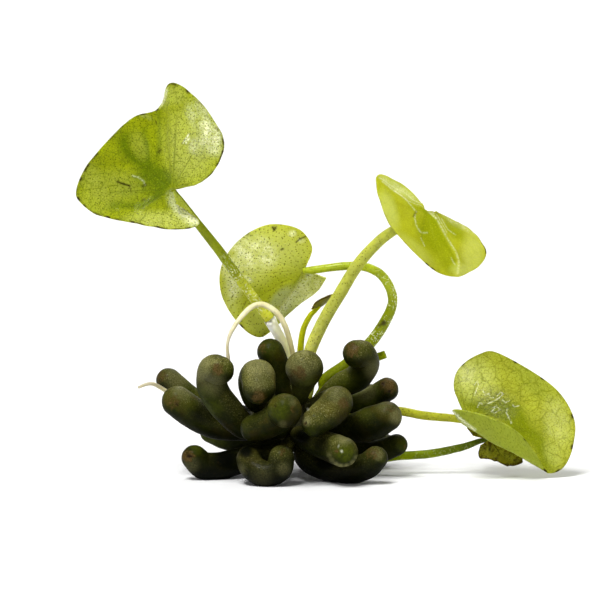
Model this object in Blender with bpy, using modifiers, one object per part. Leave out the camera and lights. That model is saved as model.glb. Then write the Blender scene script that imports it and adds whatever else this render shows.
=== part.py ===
"""Banana lily: a floating-leaved water plant with a cluster of banana-shaped roots under its leaves.

Lengths are in millimetres, in the plant's own frame: X to the right, Y away from the front, Z up,
and the surface that the plant rests on at Z = 0. MM turns them into Blender's metres.
"""

import math

import bmesh
import bpy
from mathutils import Vector

MM = 0.001
# The tables below are measured from the point on the table under the crown. The object's origin is
# the middle of its whole outline instead, this far from that point.
ORIGIN = (5.3, 1.4)

CROWN_CENTRE = (0.0, 2.0, 10.0)
CROWN_RADIUS = 5.6
CROWN_HEIGHT = 5.8
CROWN_GRID = (16, 10)
# Clear space between the crown and what grows from it.
JOINT_GAP = 0.45

ROOT_BASE_RADIUS = 1.15
ROOT_STEP = 2.4
ROOT_BEVEL_RESOLUTION = 3
TIP_ANGLES = (0, 35, 62, 84)

STEM_STEP = 3.0
THREAD_STEP = 2.2
THIN_BEVEL_RESOLUTION = 2

LEAF_THICKNESS = 0.5
# Points closer than this are welded into one.
TUBE_WELD = 0.01
LEAF_WELD = 0.001
# How many steps of the rim curve fit between its two closest points.
RIM_DETAIL = 8
# Ribs and rings of a big blade and of a small one.
BIG_BLADE_GRID = (32, 3)
SMALL_BLADE_GRID = (16, 2)

# Each banana-shaped root: points (x, y, z, radius) from near the crown to the middle of its round tip.
BANANA_ROOTS = [
    # Left side, back to front.
    [(-9, 5.4, 10.9, 1.9), (-16, 7.2, 12.2, 2.3), (-21, 8, 13.9, 2.4), (-26.5, 8, 18.3, 2.5)],
    [(-8, 1.2, 9, 1.9), (-15, 0.6, 10, 3.0), (-20, 0, 11.8, 3.2), (-24.6, -0.5, 15, 3.1)],
    [(-8, 4.8, 7, 1.8), (-13.6, 7.1, 6.4, 2.4), (-18, 9.5, 7.6, 2.2)],
    [(-7, -2.6, 9.7, 1.8), (-11, -5, 10.6, 2.6), (-14.3, -7, 14, 3.0), (-17.2, -8.5, 18.4, 3.1),
     (-17.3, -10.5, 22.3, 3.1), (-15.8, -13, 22.8, 2.8)],
    [(-6.5, -0.4, 5.6, 1.8), (-10.5, -2.5, 4, 2.4), (-15.6, -4.5, 2.6, 2.8),
     (-19.2, -5.5, 2.7, 2.8), (-21, -6.2, 4.4, 2.6)],
    # Front, upper row then lower row.
    [(-5.2, -2.5, 13.6, 1.6), (-8.5, -5.3, 15.6, 2.35), (-9.1, -8.4, 19.1, 3.2),
     (-8.4, -11.6, 21.4, 3.5), (-8.1, -14.4, 19.5, 3.3)],
    [(-3.6, 0.7, 17.5, 1.85), (-4.5, 0.6, 21.3, 2.6), (-5.9, 0, 24.9, 2.7)],
    [(0.2, -1.2, 17.1, 1.9), (0.8, -3.2, 20.4, 3.0), (0.9, -7, 22.4, 3.75)],
    [(-4, -5.2, 9.9, 1.8), (-7, -8.6, 10.4, 2.4), (-9.1, -11.5, 11, 2.75), (-6.2, -13.2, 12.3, 3.0),
     (-3.3, -15.2, 14.5, 3.2), (-3, -17.5, 15.3, 3.4)],
    [(2.7, -3.4, 14.3, 1.8), (5.8, -5.6, 15.3, 2.7), (7.4, -9.5, 16, 3.2), (5.8, -13.3, 14.6, 3.2),
     (3.1, -15.8, 12.7, 2.85)],
    [(-0.2, -5.6, 8.9, 1.7), (2.2, -9.6, 8.3, 2.5), (5.6, -13.4, 7.6, 2.9), (8.5, -17, 6.95, 3.0)],
    [(-3.4, -5, 5.6, 1.7), (-7.6, -8, 4.6, 2.2), (-10, -11.2, 5, 2.5), (-9.2, -14.2, 3.4, 2.6),
     (-6.6, -15.4, 2.35, 2.6), (-4.2, -15.5, 3.4, 2.6), (-3.7, -15.4, 5.5, 2.6)],
    [(0.8, -4.4, 4.5, 2.1), (3.4, -7.6, 3.2, 2.5), (8.8, -10.8, 2.5, 2.7), (13, -12.2, 3.4, 2.7),
     (15, -13, 5.2, 2.4)],
    # Right side, top to bottom.
    [(4.4, 1.2, 15, 1.7), (8, 0.6, 18, 2.5), (11.4, -0.5, 19.8, 2.7), (13, -2.5, 22.6, 2.8),
     (12.4, -4.5, 24.8, 2.9), (11.3, -6, 25.2, 2.8)],
    [(6.2, 4.6, 12.6, 1.6), (11, 4.8, 13.7, 2.2), (14.5, 4.3, 15.2, 2.3), (17.4, 3.5, 17, 2.4)],
    [(6, -0.7, 9.8, 1.9), (10.8, -3.5, 10, 3.0), (14.5, -5, 11.2, 3.4), (17.2, -6, 12.6, 3.1)],
    [(6.3, 1.8, 6.8, 1.7), (11, 1.4, 5.2, 2.3), (15.5, 0, 4.8, 2.3), (19.4, -1.5, 6.4, 2.2)],
    # Back.
    [(-4.9, 7.9, 8.7, 1.7), (-9.2, 11.8, 7.9, 2.6), (-13.5, 15, 9, 2.8), (-15, 16.5, 12, 2.6)],
    [(-2, 8.2, 6, 1.7), (-3.8, 13, 4, 2.6), (-5, 18, 2.55, 2.8), (-6.5, 21, 4, 2.6)],
    [(2.5, 8.5, 9, 1.8), (5, 13, 9.5, 2.7), (7.5, 16.5, 11.5, 2.9), (7.5, 18, 14.5, 2.7)],
    [(5.6, 6.8, 6.6, 1.7), (10, 9.6, 4.3, 2.5), (14, 12.5, 2.55, 2.8), (17, 14.5, 4, 2.6)],
    [(0.5, 7, 15, 1.7), (-0.5, 10.5, 17, 2.5), (-1.5, 14, 18.5, 2.6)],
    [(-3.5, 6, 14, 1.7), (-6.5, 9.5, 15.3, 2.5), (-8.7, 13, 17, 2.5)],
    [(5.4, 8.1, 12.6, 1.5), (10, 10.8, 13.2, 2.5), (14.2, 12.4, 14.4, 2.6)],
    [(1.2, 7, 5, 1.7), (2.5, 11.5, 3.2, 2.3), (4.5, 16, 2.35, 2.6), (5.5, 19.5, 3.5, 2.4)],
]

# Each leaf stalk: points (x, y, z, radius) from the crown to just short of the leaf.
STEMS = {
    "stem_upper_left": [(-6.1, 3.9, 31.2, 1.05), (-8.2, 3.3, 34, 1.02), (-12.3, 1.5, 39.7, 1.0),
                        (-16.3, 0, 45.5, 0.97), (-20.2, -1.2, 50.6, 0.87), (-23.1, -1.9, 54.5, 0.78),
                        (-24.7, -2.2, 56.6, 0.7)],
    "stem_middle": [(4.4, 5, 16.7, 0.8), (4.9, 5.3, 18.7, 1.1), (8.7, 5.6, 21.3, 1.2),
                    (12.2, 5.5, 24.2, 1.2),
                    (14.7, 5.8, 26.8, 1.17), (16.8, 6, 29.9, 1.12), (18.5, 6, 33.6, 1.0),
                    (18.3, 6.2, 36.6, 0.97), (16.5, 6.5, 39.6, 0.95), (14, 6.7, 41.1, 0.9),
                    (11, 6.9, 41.6, 0.85), (7, 7.2, 41.3, 0.82), (3.6, 7.6, 40.8, 0.8),
                    (2, 7.8, 40.6, 0.75)],
    "stem_upper_right": [(1.9, 3, 17.5, 1.0), (1.9, 3, 22, 1.2), (2.1, 2.8, 25, 1.28),
                         (5, 2.6, 31.4, 1.28), (8, 2.2, 36.4, 1.25), (11.1, 2, 41.6, 1.2),
                         (14.7, 2, 45.9, 1.12), (18.2, 2.2, 48.8, 1.05), (24.2, 3.2, 52, 0.85)],
    "stem_young": [(0.5, 5.6, 17.4, 0.45), (0.2, 5.4, 22, 0.6), (0.1, 5.2, 24.7, 0.65),
                   (0.6, 4.9, 28.7, 0.6), (2, 4.8, 31.7, 0.55), (3, 4.8, 32.7, 0.45)],
    "stem_right": [(6.5, 1.6, 11.5, 0.75), (11, 1.2, 11.6, 0.85), (16, 0.6, 12.9, 0.87),
                   (19.6, 0.5, 13, 0.87), (25, 0.2, 12.1, 0.87), (30.6, -0.3, 11.6, 0.8),
                   (32.5, -0.6, 11.3, 0.7)],
    "stem_small_right": [(5, 4.4, 4.8, 0.65), (10, 4.8, 2.8, 0.75), (15, 4, 2.7, 0.82),
                         (20, 2.7, 3.6, 0.85), (26, 2.2, 4.1, 0.85), (32.4, 2.2, 5.4, 0.75),
                         (36.2, 2.3, 6.7, 0.55)],
    "stem_stub": [(4, 7.6, 15.7, 0.7), (7.4, 8.2, 18.9, 0.95), (12.6, 8.2, 21.8, 0.9), (17.2, 7.6, 23.6, 0.8)],
}
# A pale sheath wraps the foot of the upper left stalk.
SHEATH = [(-1.3, 4.5, 17.4, 0.7), (-1.6, 4.6, 21, 0.8), (-2.4, 4.6, 24, 0.9), (-3.5, 4.4, 26.4, 1.0),
          (-5.8, 4, 30.5, 1.15)]

# Thin white roots: points (x, y, z, radius) from the crown to the tip.
THREAD_ROOTS = {
    "thread_root_arched": [(-0.4, 2.3, 17.6, 0.4), (-0.8, 2.3, 21, 0.5), (-1.3, 2.3, 23.5, 0.52),
                           (-1.8, 2.1, 26, 0.54), (-3, 1.6, 30, 0.58), (-4.8, 1, 32.9, 0.58),
                           (-7.6, 0.2, 34.5, 0.57), (-9.9, -0.8, 33.9, 0.54), (-12.3, -2.2, 31.5, 0.48),
                           (-13.9, -3.4, 29, 0.4), (-14.5, -4.4, 26.6, 0.3), (-14.3, -5, 24.2, 0.38),
                           (-14.1, -5.2, 21.7, 0.3)],
    "thread_root_left": [(-9, 2.6, 11.55, 0.35), (-12.5, 3.5, 11.9, 0.35), (-15, 3.9, 12.8, 0.35),
                         (-20.5, 4.4, 14.1, 0.36), (-26, 4.2, 16.1, 0.4), (-28, 3.6, 17.3, 0.4),
                         (-29.6, 2.6, 18.2, 0.38), (-31, 2.2, 18.1, 0.34), (-32.5, 2, 17.5, 0.26)],
}

# Each leaf blade: where its stalk joins it, and its rim (x, y, z), from one side of the notch at the
# stalk round to the other side. The last value moves the middle of that rib forward (-) or back (+).
LEAVES = {
    "leaf_upper_left": (
        (-25.4, -3.2, 57.9),
        [(-23.6, -3.8, 58.6, 0), (-20.4, -5.5, 59.2, 0.3), (-17.4, -6.8, 61.6, 0.6),
         (-15.6, -7.8, 65, 0.8), (-15.2, -7.9, 68.2, 0.8), (-16.9, -7.2, 71.6, 0.8),
         (-20.2, -4.8, 75.8, 0.6), (-25.6, -1.2, 79, 0.2), (-28.3, 3.4, 73.5, 0), (-33.2, 0.8, 72, 0.6),
         (-37.8, -1.5, 68, 1.2), (-42.4, -3.5, 62.6, 1.4), (-44.5, -4.8, 57.6, 1.4),
         (-43, -5.3, 54.8, 1.3), (-39.5, -5.9, 52.9, 1.2), (-33.3, -6.5, 51.6, 1.0),
         (-26, -6.4, 50.2, 0.6), (-20.1, -5.4, 51.2, 0.3), (-24.6, -5.6, 55.2, 0)],
    ),
    "leaf_middle": (
        (0.6, 8, 40.6),
        [(1.6, 7.6, 42.2, 0), (2.4, 6.9, 45.5, 0), (-0.3, 6, 49.1, -0.2), (-6.4, 5.8, 50, -0.6),
         (-12.2, 6.3, 46.9, -0.8), (-15.8, 7, 41.5, -0.8), (-15.7, 7.8, 35.4, -0.6),
         (-12.2, 8.7, 29.5, -0.4), (-8.4, 9.5, 26.9, -0.2), (-5.6, 10.4, 28.4, 0),
         (-0.4, 11.6, 33, 0.8), (3.4, 11, 35.9, 0.8), (5.3, 9.9, 38.8, 0.2)],
    ),
    "leaf_upper_right": (
        (25, 2, 52.8),
        [(24.4, 2.6, 54.4, 0), (22.3, 2.8, 56.8, 0), (19.6, 2.4, 58.9, 0), (15.6, 1, 60.4, -0.2),
         (15.5, -1.6, 57.2, -0.6), (17.6, -4, 51.4, -1.0), (22.1, -4.6, 46, -1.2),
         (27, -3.6, 41.6, -1.2), (30.8, -2.3, 40.3, -1.4), (33.6, -1.1, 41, -1), (36, 0, 42.4, -0.4),
         (37.2, 2, 45, 0), (34.3, 4.6, 48.9, 0.4), (29.8, 4.2, 51.6, 0.3), (27.2, 3, 53, 0)],
    ),
    "leaf_young": (
        (3.9, 4.9, 33.6),
        [(2.3, 4.0, 33.1, 0), (3.2, 3.6, 34.6, 0), (5.2, 4.3, 35.6, 0), (6.7, 5.6, 35.9, 0.2),
         (5.8, 7.1, 34.6, 0), (4, 7, 33.3, 0)],
    ),
    "leaf_right": (
        (33.7, -1, 11.1),
        [(32.6, 0.4, 14.3, 0), (30.9, 1.6, 17.4, 0.2), (31.9, 3.4, 21.2, 0.6), (36.1, 4.7, 24.0, 0.9),
         (40.2, 5, 24.0, 1.1), (50.6, 3.5, 17.8, 1.4), (54.9, 1, 11.6, 1.2), (54.6, -1.6, 5.8, 0.6),
         (52.6, -3.4, 2, -0.4), (49.6, -4.2, 1.2, -0.9), (47, -7.2, 5.2, -0.9), (43.2, -9.2, 10, -0.6),
         (36.6, -8.9, 13.2, -0.4), (30.6, -6, 14, -0.2), (32, -3.6, 12, 0)],
    ),
    "leaf_small_right": (
        (38, 1.2, 7.1),
        [(34.8, 1.2, 7.9, 0), (33.6, 2, 9.6, 0), (36.4, 2.7, 10.2, 0), (42.4, 3.1, 7.2, 0.3),
         (44.8, 2, 3.4, 0.3), (42.6, 1.2, 1.8, 0.2), (38.6, 0.5, 3, 0), (36, 0.6, 3.6, 0),
         (36.2, 0.9, 6, 0)],
    ),
}
OLD_LEAVES = ("leaf_young", "leaf_small_right")
# Folded lobes: how far the middle of a rib is moved (x, y, z), by the rim point that it runs to.
RIB_FOLDS = {
    "leaf_right": {10: (2.6, -1.4, -2.9), 11: (1.5, -0.9, -3.6), 12: (1.6, 0.0, -3.2), 13: (0.2, -0.5, -1.3)},
}


def clear_scene():
    for obj in list(bpy.data.objects):
        bpy.data.objects.remove(obj)


def collection_named(name):
    made = bpy.data.collections.new(name)
    bpy.context.scene.collection.children.link(made)
    return made


def material(name, colour, roughness):
    made = bpy.data.materials.new(name)
    made.use_nodes = True
    shader = made.node_tree.nodes["Principled BSDF"]
    shader.inputs["Base Color"].default_value = (*colour, 1.0)
    shader.inputs["Roughness"].default_value = roughness
    shader.inputs["Metallic"].default_value = 0.0
    return made


def to_metres(x, y, z):
    """A point of the tables, in Blender's metres, from the object's origin."""
    return Vector((x - ORIGIN[0], y - ORIGIN[1], z)) * MM


def catmull_rom(before, start, end, after, t):
    """A point of the smooth curve between start and end, with any number of coordinates."""
    return tuple(
        0.5 * (2 * b + (c - a) * t + (2 * a - 5 * b + 4 * c - d) * t**2
               + (3 * b - a - 3 * c + d) * t**3)
        for a, b, c, d in zip(before, start, end, after)
    )


def smooth_through(points, step):
    """Points about step apart on a smooth curve through the given points."""
    first = tuple(2 * a - b for a, b in zip(points[0], points[1]))
    last = tuple(2 * a - b for a, b in zip(points[-1], points[-2]))
    padded = [first, *points, last]
    made = []
    for i in range(1, len(padded) - 2):
        span = math.dist(padded[i][:3], padded[i + 1][:3])
        count = max(1, round(span / step))
        made += [catmull_rom(*padded[i - 1:i + 3], k / count) for k in range(count)]
    return [*made, points[-1]]


def crown_surface_towards(point):
    """The point just off the crown's surface on the way to the given point."""
    away = Vector(point[:3]) - Vector(CROWN_CENTRE)
    way = away.normalized()
    flat = way.x**2 + way.y**2
    reach = 1 / math.sqrt(flat / CROWN_RADIUS**2 + way.z**2 / CROWN_HEIGHT**2)
    return Vector(CROWN_CENTRE) + way * (reach + JOINT_GAP)


def round_tip(path):
    """The points of a round end, beyond the middle of that end."""
    end = Vector(path[-1][:3])
    radius = path[-1][3]
    way = (end - Vector(path[-2][:3])).normalized()
    tip = []
    for angle in TIP_ANGLES[1:]:
        along = end + way * radius * math.sin(math.radians(angle))
        tip.append((*along, radius * math.cos(math.radians(angle))))
    return tip


def tube(name, path, resolution, finish, collection):
    """A curve object along path, whose points hold their own radius, with closed ends."""
    data = bpy.data.curves.new(name, "CURVE")
    data.dimensions = "3D"
    data.bevel_depth = MM
    data.bevel_resolution = resolution
    data.use_fill_caps = True
    spline = data.splines.new("POLY")
    spline.points.add(len(path) - 1)
    for spot, (x, y, z, radius) in zip(spline.points, path):
        spot.co = (*to_metres(x, y, z), 1.0)
        spot.radius = radius
    obj = bpy.data.objects.new(name, data)
    obj.data.materials.append(finish)
    collection.objects.link(obj)
    return obj


def as_mesh(obj, collection):
    """The same shape as one welded mesh object, which takes the curve's place."""
    bpy.context.view_layer.update()
    graph = bpy.context.evaluated_depsgraph_get()
    mesh = bpy.data.meshes.new_from_object(obj.evaluated_get(graph))
    name = obj.name
    bpy.data.objects.remove(obj)
    shape = bmesh.new()
    shape.from_mesh(mesh)
    bmesh.ops.remove_doubles(shape, verts=shape.verts, dist=TUBE_WELD * MM)
    shape.to_mesh(mesh)
    shape.free()
    made = bpy.data.objects.new(name, mesh)
    collection.objects.link(made)
    return made


def press_on_table(obj):
    """Cuts off what would reach below the table, so the soft root rests on a small flat."""
    shape = bmesh.new()
    shape.from_mesh(obj.data)
    everything = [*shape.verts, *shape.edges, *shape.faces]
    bmesh.ops.bisect_plane(shape, geom=everything, plane_co=(0, 0, 0), plane_no=(0, 0, 1),
                           clear_inner=True)
    rim = [edge for edge in shape.edges if edge.is_boundary]
    if rim:
        bmesh.ops.edgeloop_fill(shape, edges=rim)
        bmesh.ops.recalc_face_normals(shape, faces=shape.faces)
    shape.to_mesh(obj.data)
    shape.free()


def make_crown(finish, collection):
    """The short rhizome that every root and stalk grows from."""
    segments, rings = CROWN_GRID
    bpy.ops.mesh.primitive_uv_sphere_add(segments=segments, ring_count=rings, radius=MM)
    obj = bpy.context.active_object
    obj.name = "crown"
    obj.scale = (CROWN_RADIUS, CROWN_RADIUS, CROWN_HEIGHT)
    bpy.ops.object.transform_apply(location=False, rotation=False, scale=True)
    obj.location = to_metres(*CROWN_CENTRE)
    obj.data.materials.append(finish)
    for owner in list(obj.users_collection):
        owner.objects.unlink(obj)
    collection.objects.link(obj)
    obj.data.shade_smooth()


def make_banana_root(number, points, finish, collection):
    base = (*crown_surface_towards(points[0]), ROOT_BASE_RADIUS)
    path = smooth_through([base, *points], ROOT_STEP)
    path += round_tip(path)
    obj = tube(f"banana_root_{number:02d}", path, ROOT_BEVEL_RESOLUTION, finish, collection)
    obj = as_mesh(obj, collection)
    press_on_table(obj)
    obj.data.shade_smooth()


def make_stalk(name, points, step, finish, collection, from_crown=True):
    if from_crown:
        points = [(*crown_surface_towards(points[0]), points[0][3]), *points]
    path = smooth_through(points, step)
    tube(name, path, THIN_BEVEL_RESOLUTION, finish, collection)


def blade_point(joint, rim_point, share):
    """A point of the blade, share of the way along the rib from the stalk to that point of the rim."""
    x, y, z, belly, *fold = rim_point
    bend = Vector(fold) + Vector((0, belly, 0))
    return Vector(joint).lerp(Vector((x, y, z)), share) + bend * 4 * share * (1 - share)


def make_leaf(name, joint, rim, grid, finish, collection):
    """A heart-shaped blade: a fan of ribs from the stalk to a smooth rim, open at the notch."""
    spokes, rings = grid
    folds = RIB_FOLDS.get(name, {})
    rim = [(*point, *folds.get(i, (0, 0, 0))) for i, point in enumerate(rim)]
    closest = min(math.dist(a[:3], b[:3]) for a, b in zip(rim, rim[1:]))
    dense = smooth_through(rim, closest / RIM_DETAIL)
    lengths = [0.0]
    for a, b in zip(dense, dense[1:]):
        lengths.append(lengths[-1] + math.dist(a[:3], b[:3]))
    ends = []
    at = 0
    for k in range(spokes + 1):
        wanted = lengths[-1] * k / spokes
        while at < len(lengths) - 1 and lengths[at] < wanted:
            at += 1
        ends.append(dense[at])
    shape = bmesh.new()
    bmesh.ops.create_grid(shape, x_segments=spokes, y_segments=rings, size=1)
    for vertex in shape.verts:
        rib = round((vertex.co.x + 1) / 2 * spokes)
        share = (vertex.co.y + 1) / 2
        point = blade_point(joint, ends[rib], share)
        vertex.co = to_metres(*point)
    bmesh.ops.remove_doubles(shape, verts=shape.verts, dist=LEAF_WELD * MM)
    mesh = bpy.data.meshes.new(name)
    shape.to_mesh(mesh)
    shape.free()
    obj = bpy.data.objects.new(name, mesh)
    obj.data.materials.append(finish)
    collection.objects.link(obj)
    shell = obj.modifiers.new("thickness", "SOLIDIFY")
    shell.thickness = LEAF_THICKNESS * MM
    shell.offset = 0.0
    obj.data.shade_smooth()


def main():
    clear_scene()
    plant = collection_named("banana_lily")
    dark_green = material("banana_root_skin", (0.055, 0.075, 0.022), 0.45)
    crown_green = material("crown_skin", (0.05, 0.06, 0.02), 0.6)
    leaf_green = material("leaf_blade", (0.42, 0.55, 0.06), 0.35)
    old_green = material("old_leaf_blade", (0.16, 0.17, 0.03), 0.35)
    stalk_green = material("stalk_skin", (0.36, 0.48, 0.05), 0.4)
    pale = material("pale_root_skin", (0.78, 0.74, 0.52), 0.5)

    make_crown(crown_green, plant)
    for number, points in enumerate(BANANA_ROOTS, start=1):
        make_banana_root(number, points, dark_green, plant)
    for name, points in STEMS.items():
        make_stalk(name, points, STEM_STEP, stalk_green, plant, from_crown=name != "stem_upper_left")
    make_stalk("stem_sheath", SHEATH, STEM_STEP, pale, plant)
    for name, points in THREAD_ROOTS.items():
        make_stalk(name, points, THREAD_STEP, pale, plant)
    for name, (joint, rim) in LEAVES.items():
        if name in OLD_LEAVES:
            make_leaf(name, joint, rim, SMALL_BLADE_GRID, old_green, plant)
        else:
            make_leaf(name, joint, rim, BIG_BLADE_GRID, leaf_green, plant)


main()
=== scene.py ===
"""The looks of the banana lily: waxy banana-shaped roots, dotted leaf blades, stalks, floor and light.

Lengths are in millimetres in the plant's own frame, as in its solid model: X to the right, Y away from
the front, Z up from the surface that it rests on. MM turns them into Blender's metres.
"""

import math

import bpy
import numpy as np
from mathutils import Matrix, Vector, noise


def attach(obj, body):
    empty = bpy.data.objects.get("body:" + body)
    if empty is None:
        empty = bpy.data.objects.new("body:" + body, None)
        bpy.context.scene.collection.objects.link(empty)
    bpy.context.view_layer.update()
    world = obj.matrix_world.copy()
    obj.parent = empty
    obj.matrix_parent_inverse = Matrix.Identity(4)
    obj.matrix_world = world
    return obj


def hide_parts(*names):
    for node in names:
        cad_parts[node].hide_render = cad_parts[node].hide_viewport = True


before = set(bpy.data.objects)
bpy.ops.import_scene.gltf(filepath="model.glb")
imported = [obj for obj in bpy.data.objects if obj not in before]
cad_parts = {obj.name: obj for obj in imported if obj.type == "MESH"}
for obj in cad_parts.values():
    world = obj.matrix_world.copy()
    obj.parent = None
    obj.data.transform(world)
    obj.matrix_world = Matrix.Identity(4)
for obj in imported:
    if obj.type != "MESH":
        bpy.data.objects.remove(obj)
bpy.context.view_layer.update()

MM = 0.001
ORIGIN = np.array((5.3, 1.4, 0.0))
CROWN_CENTRE = np.array((0.0, 2.0, 10.0))
CROWN_RADII = np.array((5.6, 5.6, 5.8))
# How deep the roots and stalks sit in the crown.
ROOT_SINK = 0.5
ROOT_BASE_RADIUS = 1.3

# The photo's view: nearly level, from far enough for a natural macro perspective.
CAMERA_ELEVATION = math.radians(6.0)
CAMERA_DISTANCE = 1.2
CAMERA_AIM = (0.0, 0.0, 35.4)
FRAME_WIDTH = 0.120
SENSOR_WIDTH = 36.0
# How much higher a point appears from the front for each millimetre that it lies further back.
VIEW_RISE = math.tan(CAMERA_ELEVATION)
# Each banana-shaped root: points (x, y, z, radius) from near the crown to the middle of its round tip.
BANANA_ROOTS = [
    # Left side, back to front.
    [(-9, 5.4, 10.9, 1.9), (-16, 7.2, 12.2, 2.3), (-21, 8, 13.9, 2.4), (-26.5, 8, 18.3, 2.5)],
    [(-8, 1.2, 9, 1.9), (-15, 0.6, 10, 3), (-20, 0, 11.8, 3.2), (-24.6, -0.5, 15, 3.1)],
    [(-8, 4.8, 7, 1.8), (-13.6, 7.1, 6.4, 2.4), (-18, 9.5, 7.6, 2.2)],
    [(-7, -2.6, 9.7, 1.8), (-11, -5, 10.6, 2.6), (-14.3, -7, 14, 3), (-17.2, -8.5, 18.4, 3.1),
     (-17.3, -10.5, 22.3, 3.1), (-15.8, -13, 22.8, 2.8)],
    [(-6.5, -0.4, 5.6, 1.8), (-10.5, -2.5, 4, 2.4), (-15.6, -4.5, 2.6, 2.8),
     (-19.2, -5.5, 2.7, 2.8), (-21, -6.2, 4.4, 2.6)],
    # Front, upper row then lower row.
    [(-5.2, -2.5, 13.6, 1.6), (-8.5, -5.3, 15.6, 2.35), (-9.1, -8.4, 19.1, 3.2),
     (-8.4, -11.6, 21.4, 3.5), (-8.1, -14.4, 19.5, 3.3)],
    [(-3.6, 0.7, 17.5, 1.85), (-4.5, 0.6, 21.3, 2.6), (-5.9, 0, 24.9, 2.7)],
    [(0.2, -1.2, 17.1, 1.9), (0.8, -3.2, 20.4, 3), (0.9, -7, 22.4, 3.75)],
    [(-4, -5.2, 9.9, 1.8), (-7, -8.6, 10.4, 2.4), (-9.1, -11.5, 11, 2.75), (-6.2, -13.2, 12.3, 3),
     (-3.3, -15.2, 14.5, 3.2), (-3, -17.5, 15.3, 3.4)],
    [(2.7, -3.4, 14.3, 1.8), (5.8, -5.6, 15.3, 2.7), (7.4, -9.5, 16, 3.2), (5.8, -13.3, 14.6, 3.2),
     (3.1, -15.8, 12.7, 2.85)],
    [(-0.2, -5.6, 8.9, 1.7), (2.2, -9.6, 8.3, 2.5), (5.6, -13.4, 7.6, 2.9), (8.5, -17, 6.95, 3)],
    [(-3.4, -5, 5.6, 1.7), (-7.6, -8, 4.6, 2.2), (-10, -11.2, 5, 2.5), (-9.2, -14.2, 3.4, 2.6),
     (-6.6, -15.4, 2.35, 2.6), (-4.2, -15.5, 3.4, 2.6), (-3.7, -15.4, 5.5, 2.6)],
    [(0.8, -4.4, 4.5, 2.1), (3.4, -7.6, 3.2, 2.5), (8.8, -10.8, 2.5, 2.7), (13, -12.2, 3.4, 2.7),
     (15, -13, 5.2, 2.4)],
    # Right side, top to bottom.
    [(4.4, 1.2, 15, 1.7), (8, 0.6, 18, 2.5), (11.4, -0.5, 19.8, 2.7), (13, -2.5, 22.6, 2.8),
     (12.4, -4.5, 24.8, 2.9), (11.3, -6, 25.2, 2.8)],
    [(6.2, 4.6, 12.6, 1.6), (11, 4.8, 13.7, 2.2), (14.5, 4.3, 15.2, 2.3), (17.4, 3.5, 17, 2.4)],
    [(6, -0.7, 9.8, 1.9), (10.8, -3.5, 10, 3), (14.5, -5, 11.2, 3.4), (17.2, -6, 12.6, 3.1)],
    [(6.3, 1.8, 6.8, 1.7), (11, 1.4, 5.2, 2.3), (15.5, 0, 4.8, 2.3), (19.4, -1.5, 6.4, 2.2)],
    # Back.
    [(-4.9, 7.9, 8.7, 1.7), (-9.2, 11.8, 7.9, 2.6), (-13.5, 15, 9, 2.8), (-15, 16.5, 12, 2.6)],
    [(-2, 8.2, 6, 1.7), (-3.8, 13, 4, 2.6), (-5, 18, 2.55, 2.8), (-6.5, 21, 4, 2.6)],
    [(2.5, 8.5, 9, 1.8), (5, 13, 9.5, 2.7), (7.5, 16.5, 11.5, 2.9), (7.5, 18, 14.5, 2.7)],
    [(5.6, 6.8, 6.6, 1.7), (10, 9.6, 4.3, 2.5), (14, 12.5, 2.55, 2.8), (17, 14.5, 4, 2.6)],
    [(0.5, 7, 15, 1.7), (-0.5, 10.5, 17, 2.5), (-1.5, 14, 18.5, 2.6)],
    [(-3.5, 6, 14, 1.7), (-6.5, 9.5, 15.3, 2.5), (-8.7, 13, 17, 2.5)],
    [(5.4, 8.1, 12.6, 1.5), (10, 10.8, 13.2, 2.5), (14.2, 12.4, 14.4, 2.6)],
    [(1.2, 7, 5, 1.7), (2.5, 11.5, 3.2, 2.3), (4.5, 16, 2.35, 2.6), (5.5, 19.5, 3.5, 2.4)],
]

# How much pale bloom each root carries. The amount is raised on roots that stand in the light and lowered on
# roots in shade, so it is partly painted light; the others carry the plain amount below.
BLOOM_AND_LIGHT = {1: 0.8, 2: 0.55, 3: 0.1, 4: 0.95, 5: 0.12, 6: 1, 7: 0.2, 8: 0.95, 9: 0.22, 10: 0.75,
         11: 0.6, 12: 0.6, 13: 0.45, 14: 0.65, 15: 0.35, 16: 0.16, 17: 0.12}
PLAIN_BLOOM_AND_LIGHT = 0.45
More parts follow.
